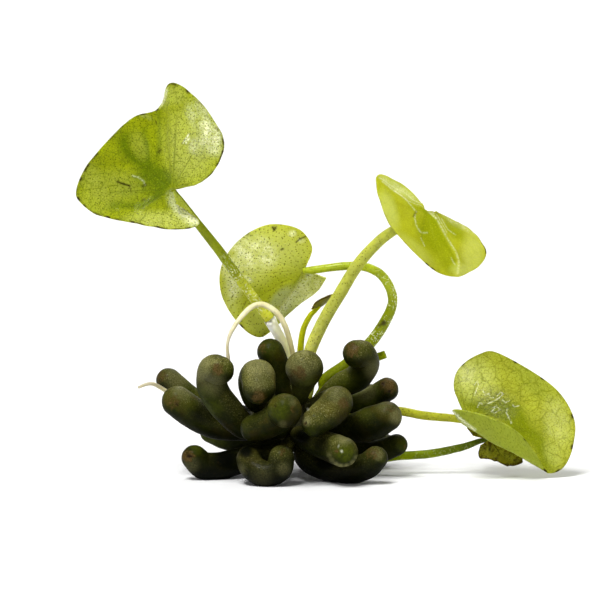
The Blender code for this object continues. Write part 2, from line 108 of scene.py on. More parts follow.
# Marks on the roots: kind, place as the front view shows it (x, height), radius, strength.
# brown is corky skin, fresh is bare green skin, pale is thick bloom or worn skin and also painted light, dark
# is painted shade that also takes the bloom away, pit is a small hole, glint is a painted highlight, a tiny
# white point.
ROOT_SPOTS = {
    1: [
        ("brown", -28, 19.9, 1.7, 0.7), ("fresh", -22.4, 17.4, 3, 0.7), ("dark", -11, 13.6, 3, 1),
        ("pale", -24.6, 19.6, 2.6, 0.75),
    ],
    2: [
        ("brown", -25.5, 15, 2, 0.65), ("fresh", -25, 15.2, 2.4, 0.5), ("fresh", -22.2, 15, 2.4, 0.3),
        ("pit", -24.6, 14.4, 0.3, 0.8), ("pit", -26.1, 13.9, 0.2, 0.6), ("brown", -21, 15.8, 1.2, 0.4),
        ("pale", -23.4, 17.4, 2.4, 0.55), ("dark", -19.2, 12.8, 4, 0.85),
    ],
    3: [("fresh", -18, 7.2, 4, 0.6)],
    4: [
        ("brown", -16.4, 21.6, 1.6, 1), ("pale", -17, 22.9, 1, 0.6), ("fresh", -18.4, 16.4, 2.6, 0.3),
        ("fresh", -13.8, 22.2, 1.3, 0.5), ("pit", -15.2, 23.4, 0.25, 0.6), ("pale", -18.8, 23, 1.6, 0.8),
        ("pale", -19.4, 20.8, 2, 0.65), ("pale", -17.2, 18.6, 2.6, 0.4), ("fresh", -17.6, 14, 2.6, 0.35),
    ],
    5: [
        ("brown", -22.2, 4.1, 1.5, 1), ("fresh", -20.6, 5.6, 1.4, 0.4), ("dark", -15, 3.4, 3.8, 1),
        ("pale", -21.8, 2.4, 1.8, 0.3),
    ],
    6: [
        ("brown", -8.2, 16.2, 1.6, 0.9), ("pale", -8.8, 22.2, 2.6, 0.8), ("pale", -8.4, 19.4, 2.4, 0.4),
        ("pale", -6.2, 21.8, 1.8, 0.5), ("pale", -7.4, 22.9, 0.5, 0.8), ("dark", -12.2, 17, 2.2, 0.6),
    ],
    7: [("brown", -7.5, 25.7, 1.3, 0.7), ("fresh", -7.2, 25.9, 1.2, 0.5), ("fresh", -5.4, 25.2, 2, 0.4)],
    8: [
        ("brown", -0.2, 20.8, 2, 0.85), ("pale", -0.8, 21.4, 3.6, 0.6), ("fresh", 1.2, 17.2, 3.2, 0.9),
        ("pale", 1.2, 17.4, 2.6, 0.35), ("pale", 0.8, 25, 0.8, 1), ("pale", -0.6, 24.6, 0.6, 0.8),
        ("pit", 0.4, 21.1, 0.2, 0.7), ("brown", 0.4, 21.1, 0.9, 0.9), ("pale", 2.6, 22.6, 1.5, 0.4),
    ],
    9: [
        ("fresh", -3.9, 13.5, 2.3, 0.55), ("brown", -1.3, 13.7, 1, 0.5), ("brown", -4.9, 14.4, 0.6, 0.45),
        ("pale", -1.4, 15, 0.8, 0.35), ("pale", -3.4, 10.8, 0.9, 0.3), ("dark", -10, 9, 3.4, 0.35),
    ],
    10: [
        ("pale", 1.2, 11.4, 1.1, 0.9), ("glint", 1.5, 13.6, 0.25, 1), ("brown", 8.6, 14.8, 1.4, 0.8),
        ("pit", 1.1, 10.9, 0.22, 1), ("brown", 1.1, 10.9, 0.5, 0.8), ("fresh", 2.2, 9.4, 1.3, 0.2),
        ("dark", 4, 9.2, 2.2, 0.6), ("pale", 7.4, 16.2, 1.8, 0.45),
    ],
    11: [
        ("brown", 7.2, 5.4, 0.5, 0.9), ("fresh", 8.8, 5.2, 2.2, 0.9), ("pale", 11.2, 4.1, 0.6, 0.6),
        ("pale", 5.8, 4.6, 0.6, 0.5), ("pale", 6.3, 3.6, 0.6, 0.5), ("pale", 7.1, 2.8, 0.6, 0.9),
        ("pale", 8, 2.3, 0.7, 1), ("pale", 9.3, 2.3, 0.7, 1), ("pale", 10.5, 3, 0.7, 0.8),
        ("pale", 8.8, 8.2, 1.6, 0.75), ("glint", 8.2, 5.4, 0.3, 0.6), ("glint", 7.6, 6.4, 0.2, 0.4),
        ("dark", 4.2, 6.6, 2.4, 0.8), ("dark", 0.6, 8.2, 2.8, 1),
    ],
    12: [
        ("brown", -3.4, 5.3, 1.3, 0.5), ("pale", -3.2, 1.8, 1.5, 0.3), ("pale", -7.6, 0.6, 2.4, 0.15),
        ("pale", -11.6, 1.6, 1.2, 0.3), ("dark", -10.8, 5.4, 2.4, 1),
    ],
    13: [
        ("brown", 14.4, 5, 2, 0.6), ("pale", 15.6, 4.4, 1.1, 0.6), ("fresh", 16.4, 3.6, 1, 0.3),
        ("dark", 5, 3, 3.6, 1), ("dark", 9.6, 1.8, 3.2, 0.7),
    ],
    14: [("brown", 10.4, 25.4, 1.8, 1), ("fresh", 7, 19.4, 4, 0.45), ("pale", 14.8, 21.4, 2.2, 0.4)],
    15: [
        ("brown", 17.7, 18.2, 2.1, 1), ("pit", 16.6, 18.6, 0.4, 0.8), ("pit", 17.9, 17, 0.4, 0.8),
        ("fresh", 14.8, 16.8, 1.6, 0.5), ("fresh", 12.6, 15.2, 3, 0.9), ("pale", 13, 17, 2.4, 0.9),
    ],
    16: [
        ("brown", 18.2, 14, 2.1, 0.5), ("pale", 19.4, 12.2, 1.8, 0.8), ("pale", 16.8, 14.2, 1.8, 0.3),
        ("dark", 12, 8.6, 3.6, 0.8), ("dark", 16.2, 8.8, 3.2, 0.8),
    ],
    17: [("fresh", 20.6, 6.3, 1.4, 0.5), ("brown", 21, 6, 0.6, 0.5), ("dark", 14.6, 5, 2.6, 0.7)],
}
# Shaped scars: kind, place (x, height) and radius.
ROOT_SCARS = {
    4: ("dent", -15.9, 21.4, 0.9), 5: ("oval", -22.2, 4.1, 1), 6: ("dent", -8.9, 16.3, 1),
    8: ("rings", 0.3, 21, 2.6), 9: ("pinhole", -4.9, 14.4, 0.4), 10: ("pinhole", 1.1, 10.9, 0.45),
    11: ("cap", 8.6, 5.2, 2), 12: ("pinhole", -10.9, 1.4, 0.45), 15: ("dent", 17.7, 18.2, 1.2),
    16: ("rings", 19.4, 12.8, 1.9),
}

# Each leaf stalk: points (x, y, z, radius) from the crown to just short of the leaf.
STEMS = {
    "stem_upper_left": [
        (-6.1, 3.9, 31.2, 1.05), (-8.2, 3.3, 34, 1.02), (-12.3, 1.5, 39.7, 1), (-16.3, 0, 45.5, 0.97),
        (-20.2, -1.2, 50.6, 0.87), (-23.1, -1.9, 54.5, 0.78), (-24.7, -2.2, 56.6, 0.7),
    ],
    "stem_middle": [
        (4.4, 5, 16.7, 0.8), (4.9, 5.3, 18.7, 1.1), (8.7, 5.6, 21.3, 1.2), (12.2, 5.5, 24.2, 1.2),
        (14.7, 5.8, 26.8, 1.17), (16.8, 6, 29.9, 1.12), (18.5, 6, 33.6, 1), (18.3, 6.2, 36.6, 0.97),
        (16.5, 6.5, 39.6, 0.95), (14, 6.7, 41.1, 0.9), (11, 6.9, 41.6, 0.85), (7, 7.2, 41.3, 0.82),
        (3.6, 7.6, 40.8, 0.8), (2, 7.8, 40.6, 0.75),
    ],
    "stem_upper_right": [
        (1.9, 3, 17.5, 1), (1.9, 3, 22, 1.2), (2.1, 2.8, 25, 1.28), (5, 2.6, 31.4, 1.28),
        (8, 2.2, 36.4, 1.25), (11.1, 2, 41.6, 1.2), (14.7, 2, 45.9, 1.12), (18.2, 2.2, 48.8, 1.05),
        (24.2, 3.2, 52, 0.85),
    ],
    "stem_young": [
        (0.5, 5.6, 17.4, 0.45), (0.2, 5.4, 22, 0.6), (0.1, 5.2, 24.7, 0.65), (0.6, 4.9, 28.7, 0.6),
        (2, 4.8, 31.7, 0.55), (3, 4.8, 32.7, 0.45),
    ],
    "stem_right": [
        (6.5, 1.6, 11.5, 0.75), (11, 1.2, 11.6, 0.85), (16, 0.6, 12.9, 0.87), (19.6, 0.5, 13, 0.87),
        (25, 0.2, 12.1, 0.87), (30.6, -0.3, 11.6, 0.8), (32.5, -0.6, 11.3, 0.7),
    ],
    "stem_small_right": [
        (5, 4.4, 4.8, 0.65), (10, 4.8, 2.8, 0.75), (15, 4, 2.7, 0.82), (20, 2.7, 3.6, 0.85),
        (26, 2.2, 4.1, 0.85), (32.4, 2.2, 5.4, 0.75), (36.2, 2.3, 6.7, 0.55),
    ],
    "stem_stub": [
        (4, 7.6, 15.7, 0.7), (7.4, 8.2, 18.9, 0.95), (12.6, 8.2, 21.8, 0.9), (17.2, 7.6, 23.6, 0.8),
    ],
}
SHEATH = [
    (-1.3, 4.5, 17.4, 0.7), (-1.6, 4.6, 21, 0.8), (-2.4, 4.6, 24, 0.9), (-3.5, 4.4, 26.4, 1),
    (-5.8, 4, 30.5, 1.15)
]
# Brown marks on the stalks, given as on the roots.
STALK_MARKS = {"stem_middle": [("brown", 16.8, 30.8, 0.7, 1), ("brown", 15.9, 30.2, 0.5, 0.7)]}
THREAD_ROOTS = {
    "thread_root_arched": [
        (-0.4, 2.3, 17.6, 0.4), (-0.8, 2.3, 21, 0.5), (-1.3, 2.3, 23.5, 0.52), (-1.8, 2.1, 26, 0.54),
        (-3, 1.6, 30, 0.58), (-4.8, 1, 32.9, 0.58), (-7.6, 0.2, 34.5, 0.57), (-9.9, -0.8, 33.9, 0.54),
        (-12.3, -2.2, 31.5, 0.48), (-13.9, -3.4, 29, 0.4), (-14.5, -4.4, 26.6, 0.3), (-14.3, -5, 24.2, 0.38),
        (-14.1, -5.2, 21.7, 0.3),
    ],
    "thread_root_left": [
        (-9, 2.6, 11.55, 0.35), (-12.5, 3.5, 11.9, 0.35), (-15, 3.9, 12.8, 0.35), (-20.5, 4.4, 14.1, 0.36),
        (-26, 4.2, 16.1, 0.4), (-28, 3.6, 17.3, 0.4), (-29.6, 2.6, 18.2, 0.38), (-31, 2.2, 18.1, 0.34),
        (-32.5, 2, 17.5, 0.26),
    ],
}

# Each leaf blade: where its stalk joins it, and its rim (x, y, z) from one side of the notch round to
# the other. The last value moves the middle of that rib forward (-) or back (+).
LEAVES = {
    "leaf_upper_left": (
        (-25.4, -3.2, 57.9),
        [(-23.6, -3.8, 58.6, 0), (-20.4, -5.5, 59.2, 0.3), (-17.4, -6.8, 61.6, 0.6),
         (-15.6, -7.8, 65, 0.8), (-15.2, -7.9, 68.2, 0.8), (-16.9, -7.2, 71.6, 0.8),
         (-20.2, -4.8, 75.8, 0.6), (-25.6, -1.2, 79, 0.2), (-28.3, 3.4, 73.5, 0), (-33.2, 0.8, 72, 0.6),
         (-37.8, -1.5, 68, 1.2), (-42.4, -3.5, 62.6, 1.4), (-44.5, -4.8, 57.6, 1.4),
         (-43, -5.3, 54.8, 1.3), (-39.5, -5.9, 52.9, 1.2), (-33.3, -6.5, 51.6, 1),
         (-26, -6.4, 50.2, 0.6), (-20.1, -5.4, 51.2, 0.3), (-24.6, -5.6, 55.2, 0)],
    ),
    "leaf_middle": (
        (0.6, 8, 40.6),
        [(1.6, 7.6, 42.2, 0), (2.4, 6.9, 45.5, 0), (-0.3, 6, 49.1, -0.2), (-6.4, 5.8, 50, -0.6),
         (-12.2, 6.3, 46.9, -0.8), (-15.8, 7, 41.5, -0.8), (-15.7, 7.8, 35.4, -0.6),
         (-12.2, 8.7, 29.5, -0.4), (-8.4, 9.5, 26.9, -0.2), (-5.6, 10.4, 28.4, 0),
         (-0.4, 11.6, 33, 0.8), (3.4, 11, 35.9, 0.8), (5.3, 9.9, 38.8, 0.2)],
    ),
    "leaf_upper_right": (
        (25, 2, 52.8),
        [(24.4, 2.6, 54.4, 0), (22.3, 2.8, 56.8, 0), (19.6, 2.4, 58.9, 0), (15.6, 1, 60.4, -0.2),
         (15.5, -1.6, 57.2, -0.6), (17.6, -4, 51.4, -1), (22.1, -4.6, 46, -1.2),
         (27, -3.6, 41.6, -1.2), (30.8, -2.3, 40.3, -1.4), (33.6, -1.1, 41, -1), (36, 0, 42.4, -0.4),
         (37.2, 2, 45, 0), (34.3, 4.6, 48.9, 0.4), (29.8, 4.2, 51.6, 0.3), (27.2, 3, 53, 0)],
    ),
    "leaf_young": (
        (3.9, 4.9, 33.6),
        [(2.3, 4, 33.1, 0), (3.2, 3.6, 34.6, 0), (5.2, 4.3, 35.6, 0), (6.7, 5.6, 35.9, 0.2),
         (5.8, 7.1, 34.6, 0), (4, 7, 33.3, 0)],
    ),
    "leaf_right": (
        (33.7, -1, 11.1),
        [(32.6, 0.4, 14.3, 0), (30.9, 1.6, 17.4, 0.2), (31.9, 3.4, 21.2, 0.6), (36.1, 4.7, 24, 0.9),
         (40.2, 5, 24, 1.1), (50.6, 3.5, 17.8, 1.4), (54.9, 1, 11.6, 1.2), (54.6, -1.6, 5.8, 0.6),
         (52.6, -3.4, 2, -0.4), (49.6, -4.2, 1.2, -0.9), (47, -7.2, 5.2, -0.9), (43.2, -9.2, 10, -0.6),
         (36.6, -8.9, 13.2, -0.4), (30.6, -6, 14, -0.2), (32, -3.6, 12, 0)],
    ),
    "leaf_small_right": (
        (38, 1.2, 7.1),
        [(34.8, 1.2, 7.9, 0), (33.6, 2, 9.6, 0), (36.4, 2.7, 10.2, 0), (42.4, 3.1, 7.2, 0.3),
         (44.8, 2, 3.4, 0.3), (42.6, 1.2, 1.8, 0.2), (38.6, 0.5, 3, 0), (36, 0.6, 3.6, 0),
         (36.2, 0.9, 6, 0)],
    ),
}

# Folded lobes: how far the middle of a rib is moved (x, y, z), by the rim point that it runs to.
RIB_FOLDS = {
    "leaf_right": {10: (2.6, -1.4, -2.9), 11: (1.5, -0.9, -3.6), 12: (1.6, 0, -3.2), 13: (0.2, -0.5, -1.3)},
}
# Patches on the blades as the front view shows them: kind, x, height, half width, half height, turn in
# degrees, strength. deep is darker green, partly painted shade in folds, grey is duller, bright is paler and
# yellower, partly painted light, sheen is a painted highlight, nearly white, wet is finely wrinkled.
BLADE_PATCHES = {
    "leaf_upper_left": [
        ("deep", -27.4, 59.6, 3, 2, 40, 0.9), ("grey", -32, 66.4, 1.8, 3.2, 20, 0.5),
        ("grey", -37, 58.2, 6, 3.5, 0, 0.6), ("bright", -21.8, 66, 5.8, 8.5, 10, 0.5),
        ("sheen", -17.6, 68.2, 2.2, 4.2, 20, 1), ("sheen", -20.4, 66.2, 2, 1.6, 30, 0.5),
        ("wet", -19.4, 67, 3.4, 3.6, 0, 0.7), ("sheen", -22.2, 53.4, 4.8, 2.3, -42, 1),
        ("sheen", -19.8, 72.6, 3, 3.4, 20, 0.45), ("deep", -30.4, 58.6, 3.8, 2.4, -30, 0.7),
        ("bright", -26, 51.2, 9, 2.2, 0, 0.6), ("bright", -41.2, 54.8, 4, 3.2, 0, 0.15),
        ("bright", -42, 60, 2.4, 3, 0, 0.15), ("deep", -33.6, 57.6, 3.2, 2.4, 0, 0.45),
        ("bright", -24.6, 76.2, 2.6, 2.4, 0, 0.3), ("sheen", -27.2, 75.9, 0.6, 2.2, -25, 1),
        ("sheen", -31, 72.3, 1.8, 0.6, -25, 0.15),
    ],
    "leaf_middle": [
        ("sheen", -9.8, 45, 5.6, 3.6, -10, 1), ("bright", -10.6, 42, 5.4, 4.4, 0, 0.7),
        ("bright", -6.4, 46, 9.5, 5, -10, 0.7), ("sheen", -1.6, 48.9, 0.9, 0.7, 0, 0.9),
        ("sheen", -13.2, 38.2, 1.8, 3, -15, 0.7), ("sheen", -14.4, 33.6, 1.3, 3.6, -20, 0.3),
        ("sheen", -13.6, 42.8, 2.4, 4, 0, 0.7), ("bright", -13.6, 38, 2.4, 8, 0, 0.5),
        ("sheen", -10.7, 39.7, 1.2, 0.6, -30, 0.8), ("sheen", 0.3, 47.4, 0.9, 0.6, 0, 0.6),
        ("deep", -2.6, 40.4, 5, 1.8, 25, 0.55), ("deep", -6, 37.4, 6, 3, 35, 0.45),
        ("grey", -4, 35.8, 3.4, 1.5, 45, 1), ("wet", -12, 39.5, 3.5, 3.5, 0, 0.6),
        ("sheen", 1.6, 37, 4.4, 1.7, 45, 0.85), ("bright", 2.4, 36.6, 5.5, 2.4, 45, 0.8),
        ("bright", -9, 31.4, 3.4, 3.4, 0, 0.55), ("grey", -0.6, 35, 5, 2.2, 45, 0.9),
    ],
    "leaf_upper_right": [
        ("deep", 26, 48.2, 2.4, 6, 30, 0.9), ("deep", 30.6, 49.6, 1.5, 3.4, 42, 0.8),
        ("deep", 28.8, 43.6, 1.5, 3.4, 28, 0.7), ("sheen", 31.4, 50.9, 4.8, 0.9, -30, 0.35),
        ("grey", 19.8, 57.8, 4.8, 1.2, -33, 0.9), ("sheen", 19.8, 57.6, 4.8, 0.8, -33, 0.35),
        ("grey", 17.6, 54, 1.6, 4, 15, 0.5), ("bright", 34.4, 44.4, 2.6, 4.4, 0, 0.5),
        ("deep", 26, 51.2, 2.2, 2, -20, 0.8), ("bright", 32.6, 41.4, 2.8, 1.6, 0, 0.6),
        ("bright", 17.4, 53, 1.8, 4.6, 25, 0.4), ("bright", 22.6, 45.6, 5.4, 1.5, -42, 0.3),
        ("deep", 25.2, 49.8, 1.8, 2.8, 25, 0.8),
    ],
    "leaf_right": [
        ("wet", 39.3, 14.6, 5, 3.4, -32, 1), ("sheen", 33.4, 20.4, 2, 2.4, 0, 0.3),
        ("sheen", 39.2, 14.4, 4.4, 2.4, -32, 0.12), ("bright", 35, 19.4, 5.2, 4.4, -30, 0.9),
        ("bright", 50.6, 4.4, 2, 3.2, 20, 0.4), ("deep", 42.5, 12.8, 4, 2.2, -30, 0.75),
        ("deep", 43.9, 9.8, 1.6, 3.8, 35, 0.7), ("deep", 49, 7.6, 2.4, 5, 30, 0.35),
        ("grey", 33.2, 17.5, 2.2, 4, 0, 0.6), ("grey", 47, 18.8, 6, 2.6, -40, 0.5),
        ("sheen", 51.5, 11, 3, 5, 10, 0.1), ("bright", 51.8, 9.8, 2.6, 6, 10, 0.4),
    ],
}
# The creases above and below the joint of leaf_upper_right, as the front view shows them.
UPPER_CREASE = [(15.8, 59.9), (18.2, 58.4), (20.7, 57.1), (22.7, 55.4), (24.2, 54.8)]
LOWER_CREASE = [(19, 57.4), (21.5, 55.3), (24, 54.3), (25.7, 52.6), (27, 51.3)]
# Lines on the blades: kind, width, strength, then points (x, height). mark is a dark scratch, ridge and
# groove are sharp folds, gleam is a painted highlight, a pale line on a fold or wrinkle, deep is a darker
# green band, partly painted shade in valleys and beside folds. lobe_ before the kind puts the line on the
# lobe that is folded to the front.
BLADE_LINES = {
    "leaf_upper_left": [
        ("mark", 0.22, 1, [(-36.4, 59.1), (-35.2, 58.6), (-34, 58.3)]),
        ("mark", 0.13, 0.7, [(-34, 58.3), (-33.6, 56.9)]),
        ("mark", 0.3, 0.7, [(-27.8, 65.4), (-28.3, 65)]),
        ("mark", 0.16, 0.7, [(-28.9, 71.4), (-28.7, 70.6)]),
        ("mark", 0.25, 0.6, [(-31.4, 55.4), (-30.9, 55.6)]),
        ("mark", 0.3, 0.6, [(-31.3, 58.2), (-30.7, 58.4)]),
        ("gleam", 0.16, 0.3, [(-33.4, 60.3), (-32.2, 60), (-31.2, 59.2), (-30.9, 58.4)]),
        ("deep", 1.1, 0.4, [(-37, 54.6), (-33, 54.2), (-29.4, 55.2), (-27.4, 57.4)]),
        ("gleam", 0.16, 1, [(-23.2, 66.9), (-22.4, 67.9), (-22, 68.5)]),
        ("gleam", 0.14, 1, [(-22.6, 66.8), (-21.9, 67.8)]),
        ("gleam", 0.8, 0.3, [(-25.2, 54.6), (-24, 53.2), (-20.8, 51.2)]),
        ("gleam", 0.9, 0.45, [(-23.4, 54.3), (-22.2, 53), (-20.8, 51.6)]),
        ("deep", 1.1, 0.7, [(-34.8, 68.2), (-35, 66.4), (-34.2, 64.8), (-32, 63), (-29, 60.8), (-26.8, 59)]),
        ("deep", 0.4, 0.8, [(-30.6, 67), (-30.2, 63.4), (-29.4, 60.6)]),
        ("deep", 0.55, 0.55, [(-28.2, 73), (-28, 69.6), (-28.2, 66.4), (-28.8, 63), (-27, 59.4)]),
        ("deep", 0.9, 0.5, [(-31, 69.2), (-30.9, 65.2), (-30, 62), (-27.2, 58.8)]),
        ("deep", 1.3, 0.35, [(-36.4, 68.4), (-34.4, 64), (-30.6, 60.8), (-27, 58.6)]),
        ("deep", 0.8, 0.4, [(-38, 54), (-32, 54.2), (-27.4, 56.4)]),
        ("mark", 0.1, 0.6, [(-23.5, 66.6), (-22.8, 67.6)]),
        ("mark", 0.12, 0.6, [(-22, 66.6), (-21.2, 66.2)]),
    ],
    "leaf_middle": [
        ("mark", 0.14, 1, [(-0.8, 47.1), (0, 47.8), (1.1, 48.3)]),
        ("mark", 0.22, 0.8, [(-3.8, 45.6), (-3.4, 45.8)]),
        ("mark", 0.22, 1, [(-5.5, 50.1), (-5.2, 49.5), (-4.9, 50)]),
        ("mark", 0.12, 0.7, [(-10.9, 35.2), (-11.2, 34.4)]),
        ("mark", 0.12, 0.7, [(-13.4, 36.5), (-13.8, 35.9)]),
        ("gleam", 0.8, 0.55, [(2.4, 40.6), (1, 39.2), (-1.4, 36.2), (-3.4, 33.4), (-4.4, 31.8)]),
        ("groove", 0.9, 0.5, [(1.4, 39.9), (-0.6, 37.2), (-2.4, 35), (-4.2, 32.4)]),
    ],
    "leaf_upper_right": [
        ("ridge", 1.3, 0.7,
         [(24.8, 54.3), (26, 52.9), (27.3, 50.8), (28.5, 48.4), (29.7, 46.6), (31, 44.4), (31.5, 42.9),
          (31.2, 40.3)]),
        ("gleam", 0.14, 0.3,
         [(24.8, 54.3), (26, 52.9), (27.3, 50.8), (28.5, 48.4), (29.7, 46.6), (31, 44.4), (31.4, 42.9),
          (31.2, 40.7)]),
        ("gleam", 0.11, 0.3, [(25.8, 54), (26.9, 52.2), (28.2, 50.2), (29, 48.6)]),
        ("deep", 0.35, 0.7, [(24.4, 53.2), (26.6, 50.4), (28, 47.8), (29.4, 45.6), (30.6, 43.6), (31, 41.4)]),
        ("gleam", 0.12, 0.35, UPPER_CREASE),
        ("gleam", 0.12, 0.3, [(16.3, 59.1), (19, 57.3), (21, 55.6), (22.3, 54.1), (23.1, 52.9)]),
        ("gleam", 0.12, 0.3, LOWER_CREASE),
        ("gleam", 0.13, 0.3, [(22.9, 52.4), (22.8, 51.6), (23.2, 49.9), (24, 48.9), (25.3, 48.8)]),
        ("gleam", 0.12, 0.25, [(28, 51.3), (29.3, 49.4), (31, 48.4)]),
        ("gleam", 0.1, 0.3, [(30, 43.8), (30.7, 42.4)]),
        ("gleam", 0.1, 0.25, [(24, 47.8), (24.7, 46.1)]),
        ("groove", 0.5, 0.16, UPPER_CREASE),
        ("groove", 0.4, 0.12, LOWER_CREASE),
        ("mark", 0.24, 0.55, [(22.6, 52.1), (23, 52.9)]),
    ],
    "leaf_right": [
        ("gleam", 0.09, 0.8, [(35, 18.2), (35.6, 19), (35.8, 18.2), (35.4, 17.2), (35, 16.2)]),
        ("gleam", 0.09, 0.8, [(36.6, 17.2), (37, 16.2), (37.8, 16.4), (38.2, 15.8), (38.8, 15.6)]),
        ("gleam", 0.09, 0.8, [(39.6, 16), (40.2, 16.8), (40.8, 16.4), (40, 15.6), (39, 15), (37.6, 14.4)]),
        ("gleam", 0.12, 0.6, [(35.6, 13.8), (36, 14.6), (36.6, 14.4)]),
        ("gleam", 0.12, 0.6,
         [(38.6, 13.6), (39.4, 14), (40, 13.2), (39.2, 12.6), (38.4, 12.8), (38.8, 13.2)]),
        ("gleam", 0.09, 0.7, [(40.6, 15.2), (41.2, 14.6), (42, 15)]),
        ("gleam", 0.09, 0.8, [(42.6, 14.2), (43.2, 13.8), (43.9, 14)]),
        ("gleam", 0.09, 0.7, [(41.6, 13.6), (41.4, 12.6), (41.8, 11.8), (42.4, 10.4)]),
        ("deep", 1.7, 1, [(34.4, 14.4), (37.6, 13.4), (40.8, 12.2), (44.6, 9.8), (47.6, 6.4), (49.6, 2.6)]),
        ("lobe_gleam", 0.25, 0.9, [(30.6, 13), (32.2, 11.5), (33.8, 10.4), (35, 9.6)]),
    ],
}
# Dark nicks in the rims, as the front view shows them.
RIM_NICKS = {
    "leaf_upper_left": [
        (-25, 78.3), (-22.5, 76.9), (-20.5, 74.6), (-16.7, 69.4), (-15.5, 64.9), (-16.6, 62.6), (-28.4, 73.4),
        (-31.4, 72.5), (-37.4, 67.4), (-37, 67.8), (-40.3, 64.3), (-42, 62.2), (-42.5, 61.4), (-43.5, 59.5),
        (-44, 55.6), (-43, 53.9), (-38.2, 51.8), (-33.2, 51), (-28.2, 50), (-22.2, 49.8),
    ],
    "leaf_middle": [(-10.3, 48.3), (-5.2, 49.9), (1.8, 45), (-11.7, 30.2)],
    "leaf_upper_right": [(25.2, 42.4), (26.4, 41.6), (36.2, 46.4), (36.8, 45.8), (37, 45.2)],
    "leaf_right": [
        (32.9, 22.1), (43.3, 22.9), (48.8, 19.7), (54.5, 11.9), (54.4, 5.8), (49.1, 1.3), (51.5, 1.1),
        (45, 7.7),
    ],
}
# Where the lobe that folds to the front starts, as a share of the way round the rim.
FRONT_LOBE = {"leaf_right": 0.66}

# How finely the shapes are made: steps along them in millimetres, and points round them.
ROOT_STEP = 0.4
ROOT_SIDES = 56
TIP_RINGS = 16
STALK_STEP = 0.5
STALK_SIDES = 28
# Ribs and rings of the big and the small blades.
BIG_BLADE = (360, 80)
SMALL_BLADE = (180, 40)
BLADE_THICKNESS = 0.34
# How much of the solid crown its skin takes up before its bumps, and how bumpy the stalks are.
CROWN_SHARE = 0.97
STALK_SWELL = 0.04
# A start beyond the whole way round: a blade without a folded lobe.
NO_LOBE = 1.1
SPOT_KINDS = ("brown", "fresh", "pale", "dark", "pit", "glint")
# How far light of each colour runs inside green leaves and stalks, against the farthest.
GREEN_SCATTER = (0.9, 1.0, 0.10)
# The point in metres at which the small lamp is aimed.
LIGHT_AIM = (0, 0, 0.03)
FLOOR_SIZE = 12.0


# Curves and surfaces

def catmull_rom(before, start, end, after, t):
    """A point of the smooth curve between start and end, with any number of coordinates."""
    return 0.5 * (2 * start + (end - before) * t + (2 * before - 5 * start + 4 * end - after) * t**2
                  + (3 * start - before - 3 * end + after) * t**3)


def smooth_through(points, step):
    """Points about step apart on a smooth curve through the given points."""
    points = [np.array(p, float) for p in points]
    padded = [2 * points[0] - points[1], *points, 2 * points[-1] - points[-2]]
    made = []
    for i in range(1, len(padded) - 2):
        span = np.linalg.norm(padded[i + 1][:3] - padded[i][:3])
        count = max(1, round(span / step))
        made += [catmull_rom(*padded[i - 1:i + 3], k / count) for k in range(count)]
    return np.array([*made, points[-1]])


def crown_surface_towards(point):
    """The point just inside the crown's surface on the way to the given point."""
    way = unit(np.array(point[:3], float) - CROWN_CENTRE)
    reach = 1 / np.linalg.norm(way / CROWN_RADII)
    return CROWN_CENTRE + way * (reach - ROOT_SINK)


def unit(vectors):
    """Vectors of length 1 in the same directions."""
    lengths = np.linalg.norm(vectors, axis=-1, keepdims=True)
    return vectors / np.maximum(lengths, 1e-9)


def soft_step(values, low, high):
    """0 below low, 1 above high and a smooth rise between."""
    t = np.clip((values - low) / (high - low), 0, 1)
    return t * t * (3 - 2 * t)


def soft_drop(values, low, high):
    """1 below low, 0 above high and a smooth fall between."""
    return 1 - soft_step(values, low, high)


def lumps(points, size, seed):
    """Smooth noise from -1 to 1 at each point, with features about size apart."""
    shift = Vector((seed * 17.3, seed * 5.1, seed * 9.7))
    flat = points.reshape(-1, 3) / size
    values = [noise.noise(Vector(p) + shift) for p in flat.tolist()]
    return np.array(values).reshape(points.shape[:-1])


def sweep(path, sides):
    """Rings of points round a path whose fourth column is the radius, and their outward directions."""
    centres = path[:, :3]
    tangents = unit(np.gradient(centres, axis=0))
    side = np.cross(tangents[0], (0.0, 1.0, 0.0))
    if np.linalg.norm(side) < 0.2:
        side = np.cross(tangents[0], (1.0, 0.0, 0.0))
    side = unit(side)
    outward = np.zeros((len(path), sides, 3))
    angles = np.linspace(0, 2 * np.pi, sides, endpoint=False)[:, None]
    for i, tangent in enumerate(tangents):
        side = unit(side - tangent * np.dot(side, tangent))
        outward[i] = np.cos(angles) * side + np.sin(angles) * np.cross(tangent, side)
    return centres[:, None] + outward * path[:, None, 3:], outward


# Objects

def to_metres(points):
    return (np.asarray(points, float)[..., :3] - ORIGIN) * MM


def add_object(name, data):
    """An object of that mesh, camera or light, linked to the scene."""
    obj = bpy.data.objects.new(name, data)
    bpy.context.scene.collection.objects.link(obj)
    return obj


def add_attributes(mesh, attributes):
    """Stores values for the materials on the mesh's points: numbers, or vectors of three."""
    for name, values in attributes.items():
        values = np.asarray(values, float)
        kind, field = ("FLOAT_VECTOR", "vector") if values.ndim == 2 else ("FLOAT", "value")
        mesh.attributes.new(name, kind, "POINT").data.foreach_set(field, values.ravel())


def mesh_object(name, points, faces, finish, attributes):
    mesh = bpy.data.meshes.new(name)
    mesh.from_pydata(to_metres(points).tolist(), [], faces)
    add_attributes(mesh, attributes)
    mesh.validate()
    mesh.shade_smooth()
    mesh.materials.append(finish)
    return add_object(name, mesh)


def tube_faces(count, sides):
    """Faces of count rings, closed by a point before the first ring and one after the last."""
    faces = []
    pairs = [(j, (j + 1) % sides) for j in range(sides)]
    for ring in range(0, (count - 1) * sides, sides):
        faces += [(ring + j, ring + k, ring + sides + k, ring + sides + j) for j, k in pairs]
    first, last, end_ring = count * sides, count * sides + 1, (count - 1) * sides
    for j, k in pairs:
        faces += [(first, k, j), (last, end_ring + j, end_ring + k)]
    return faces


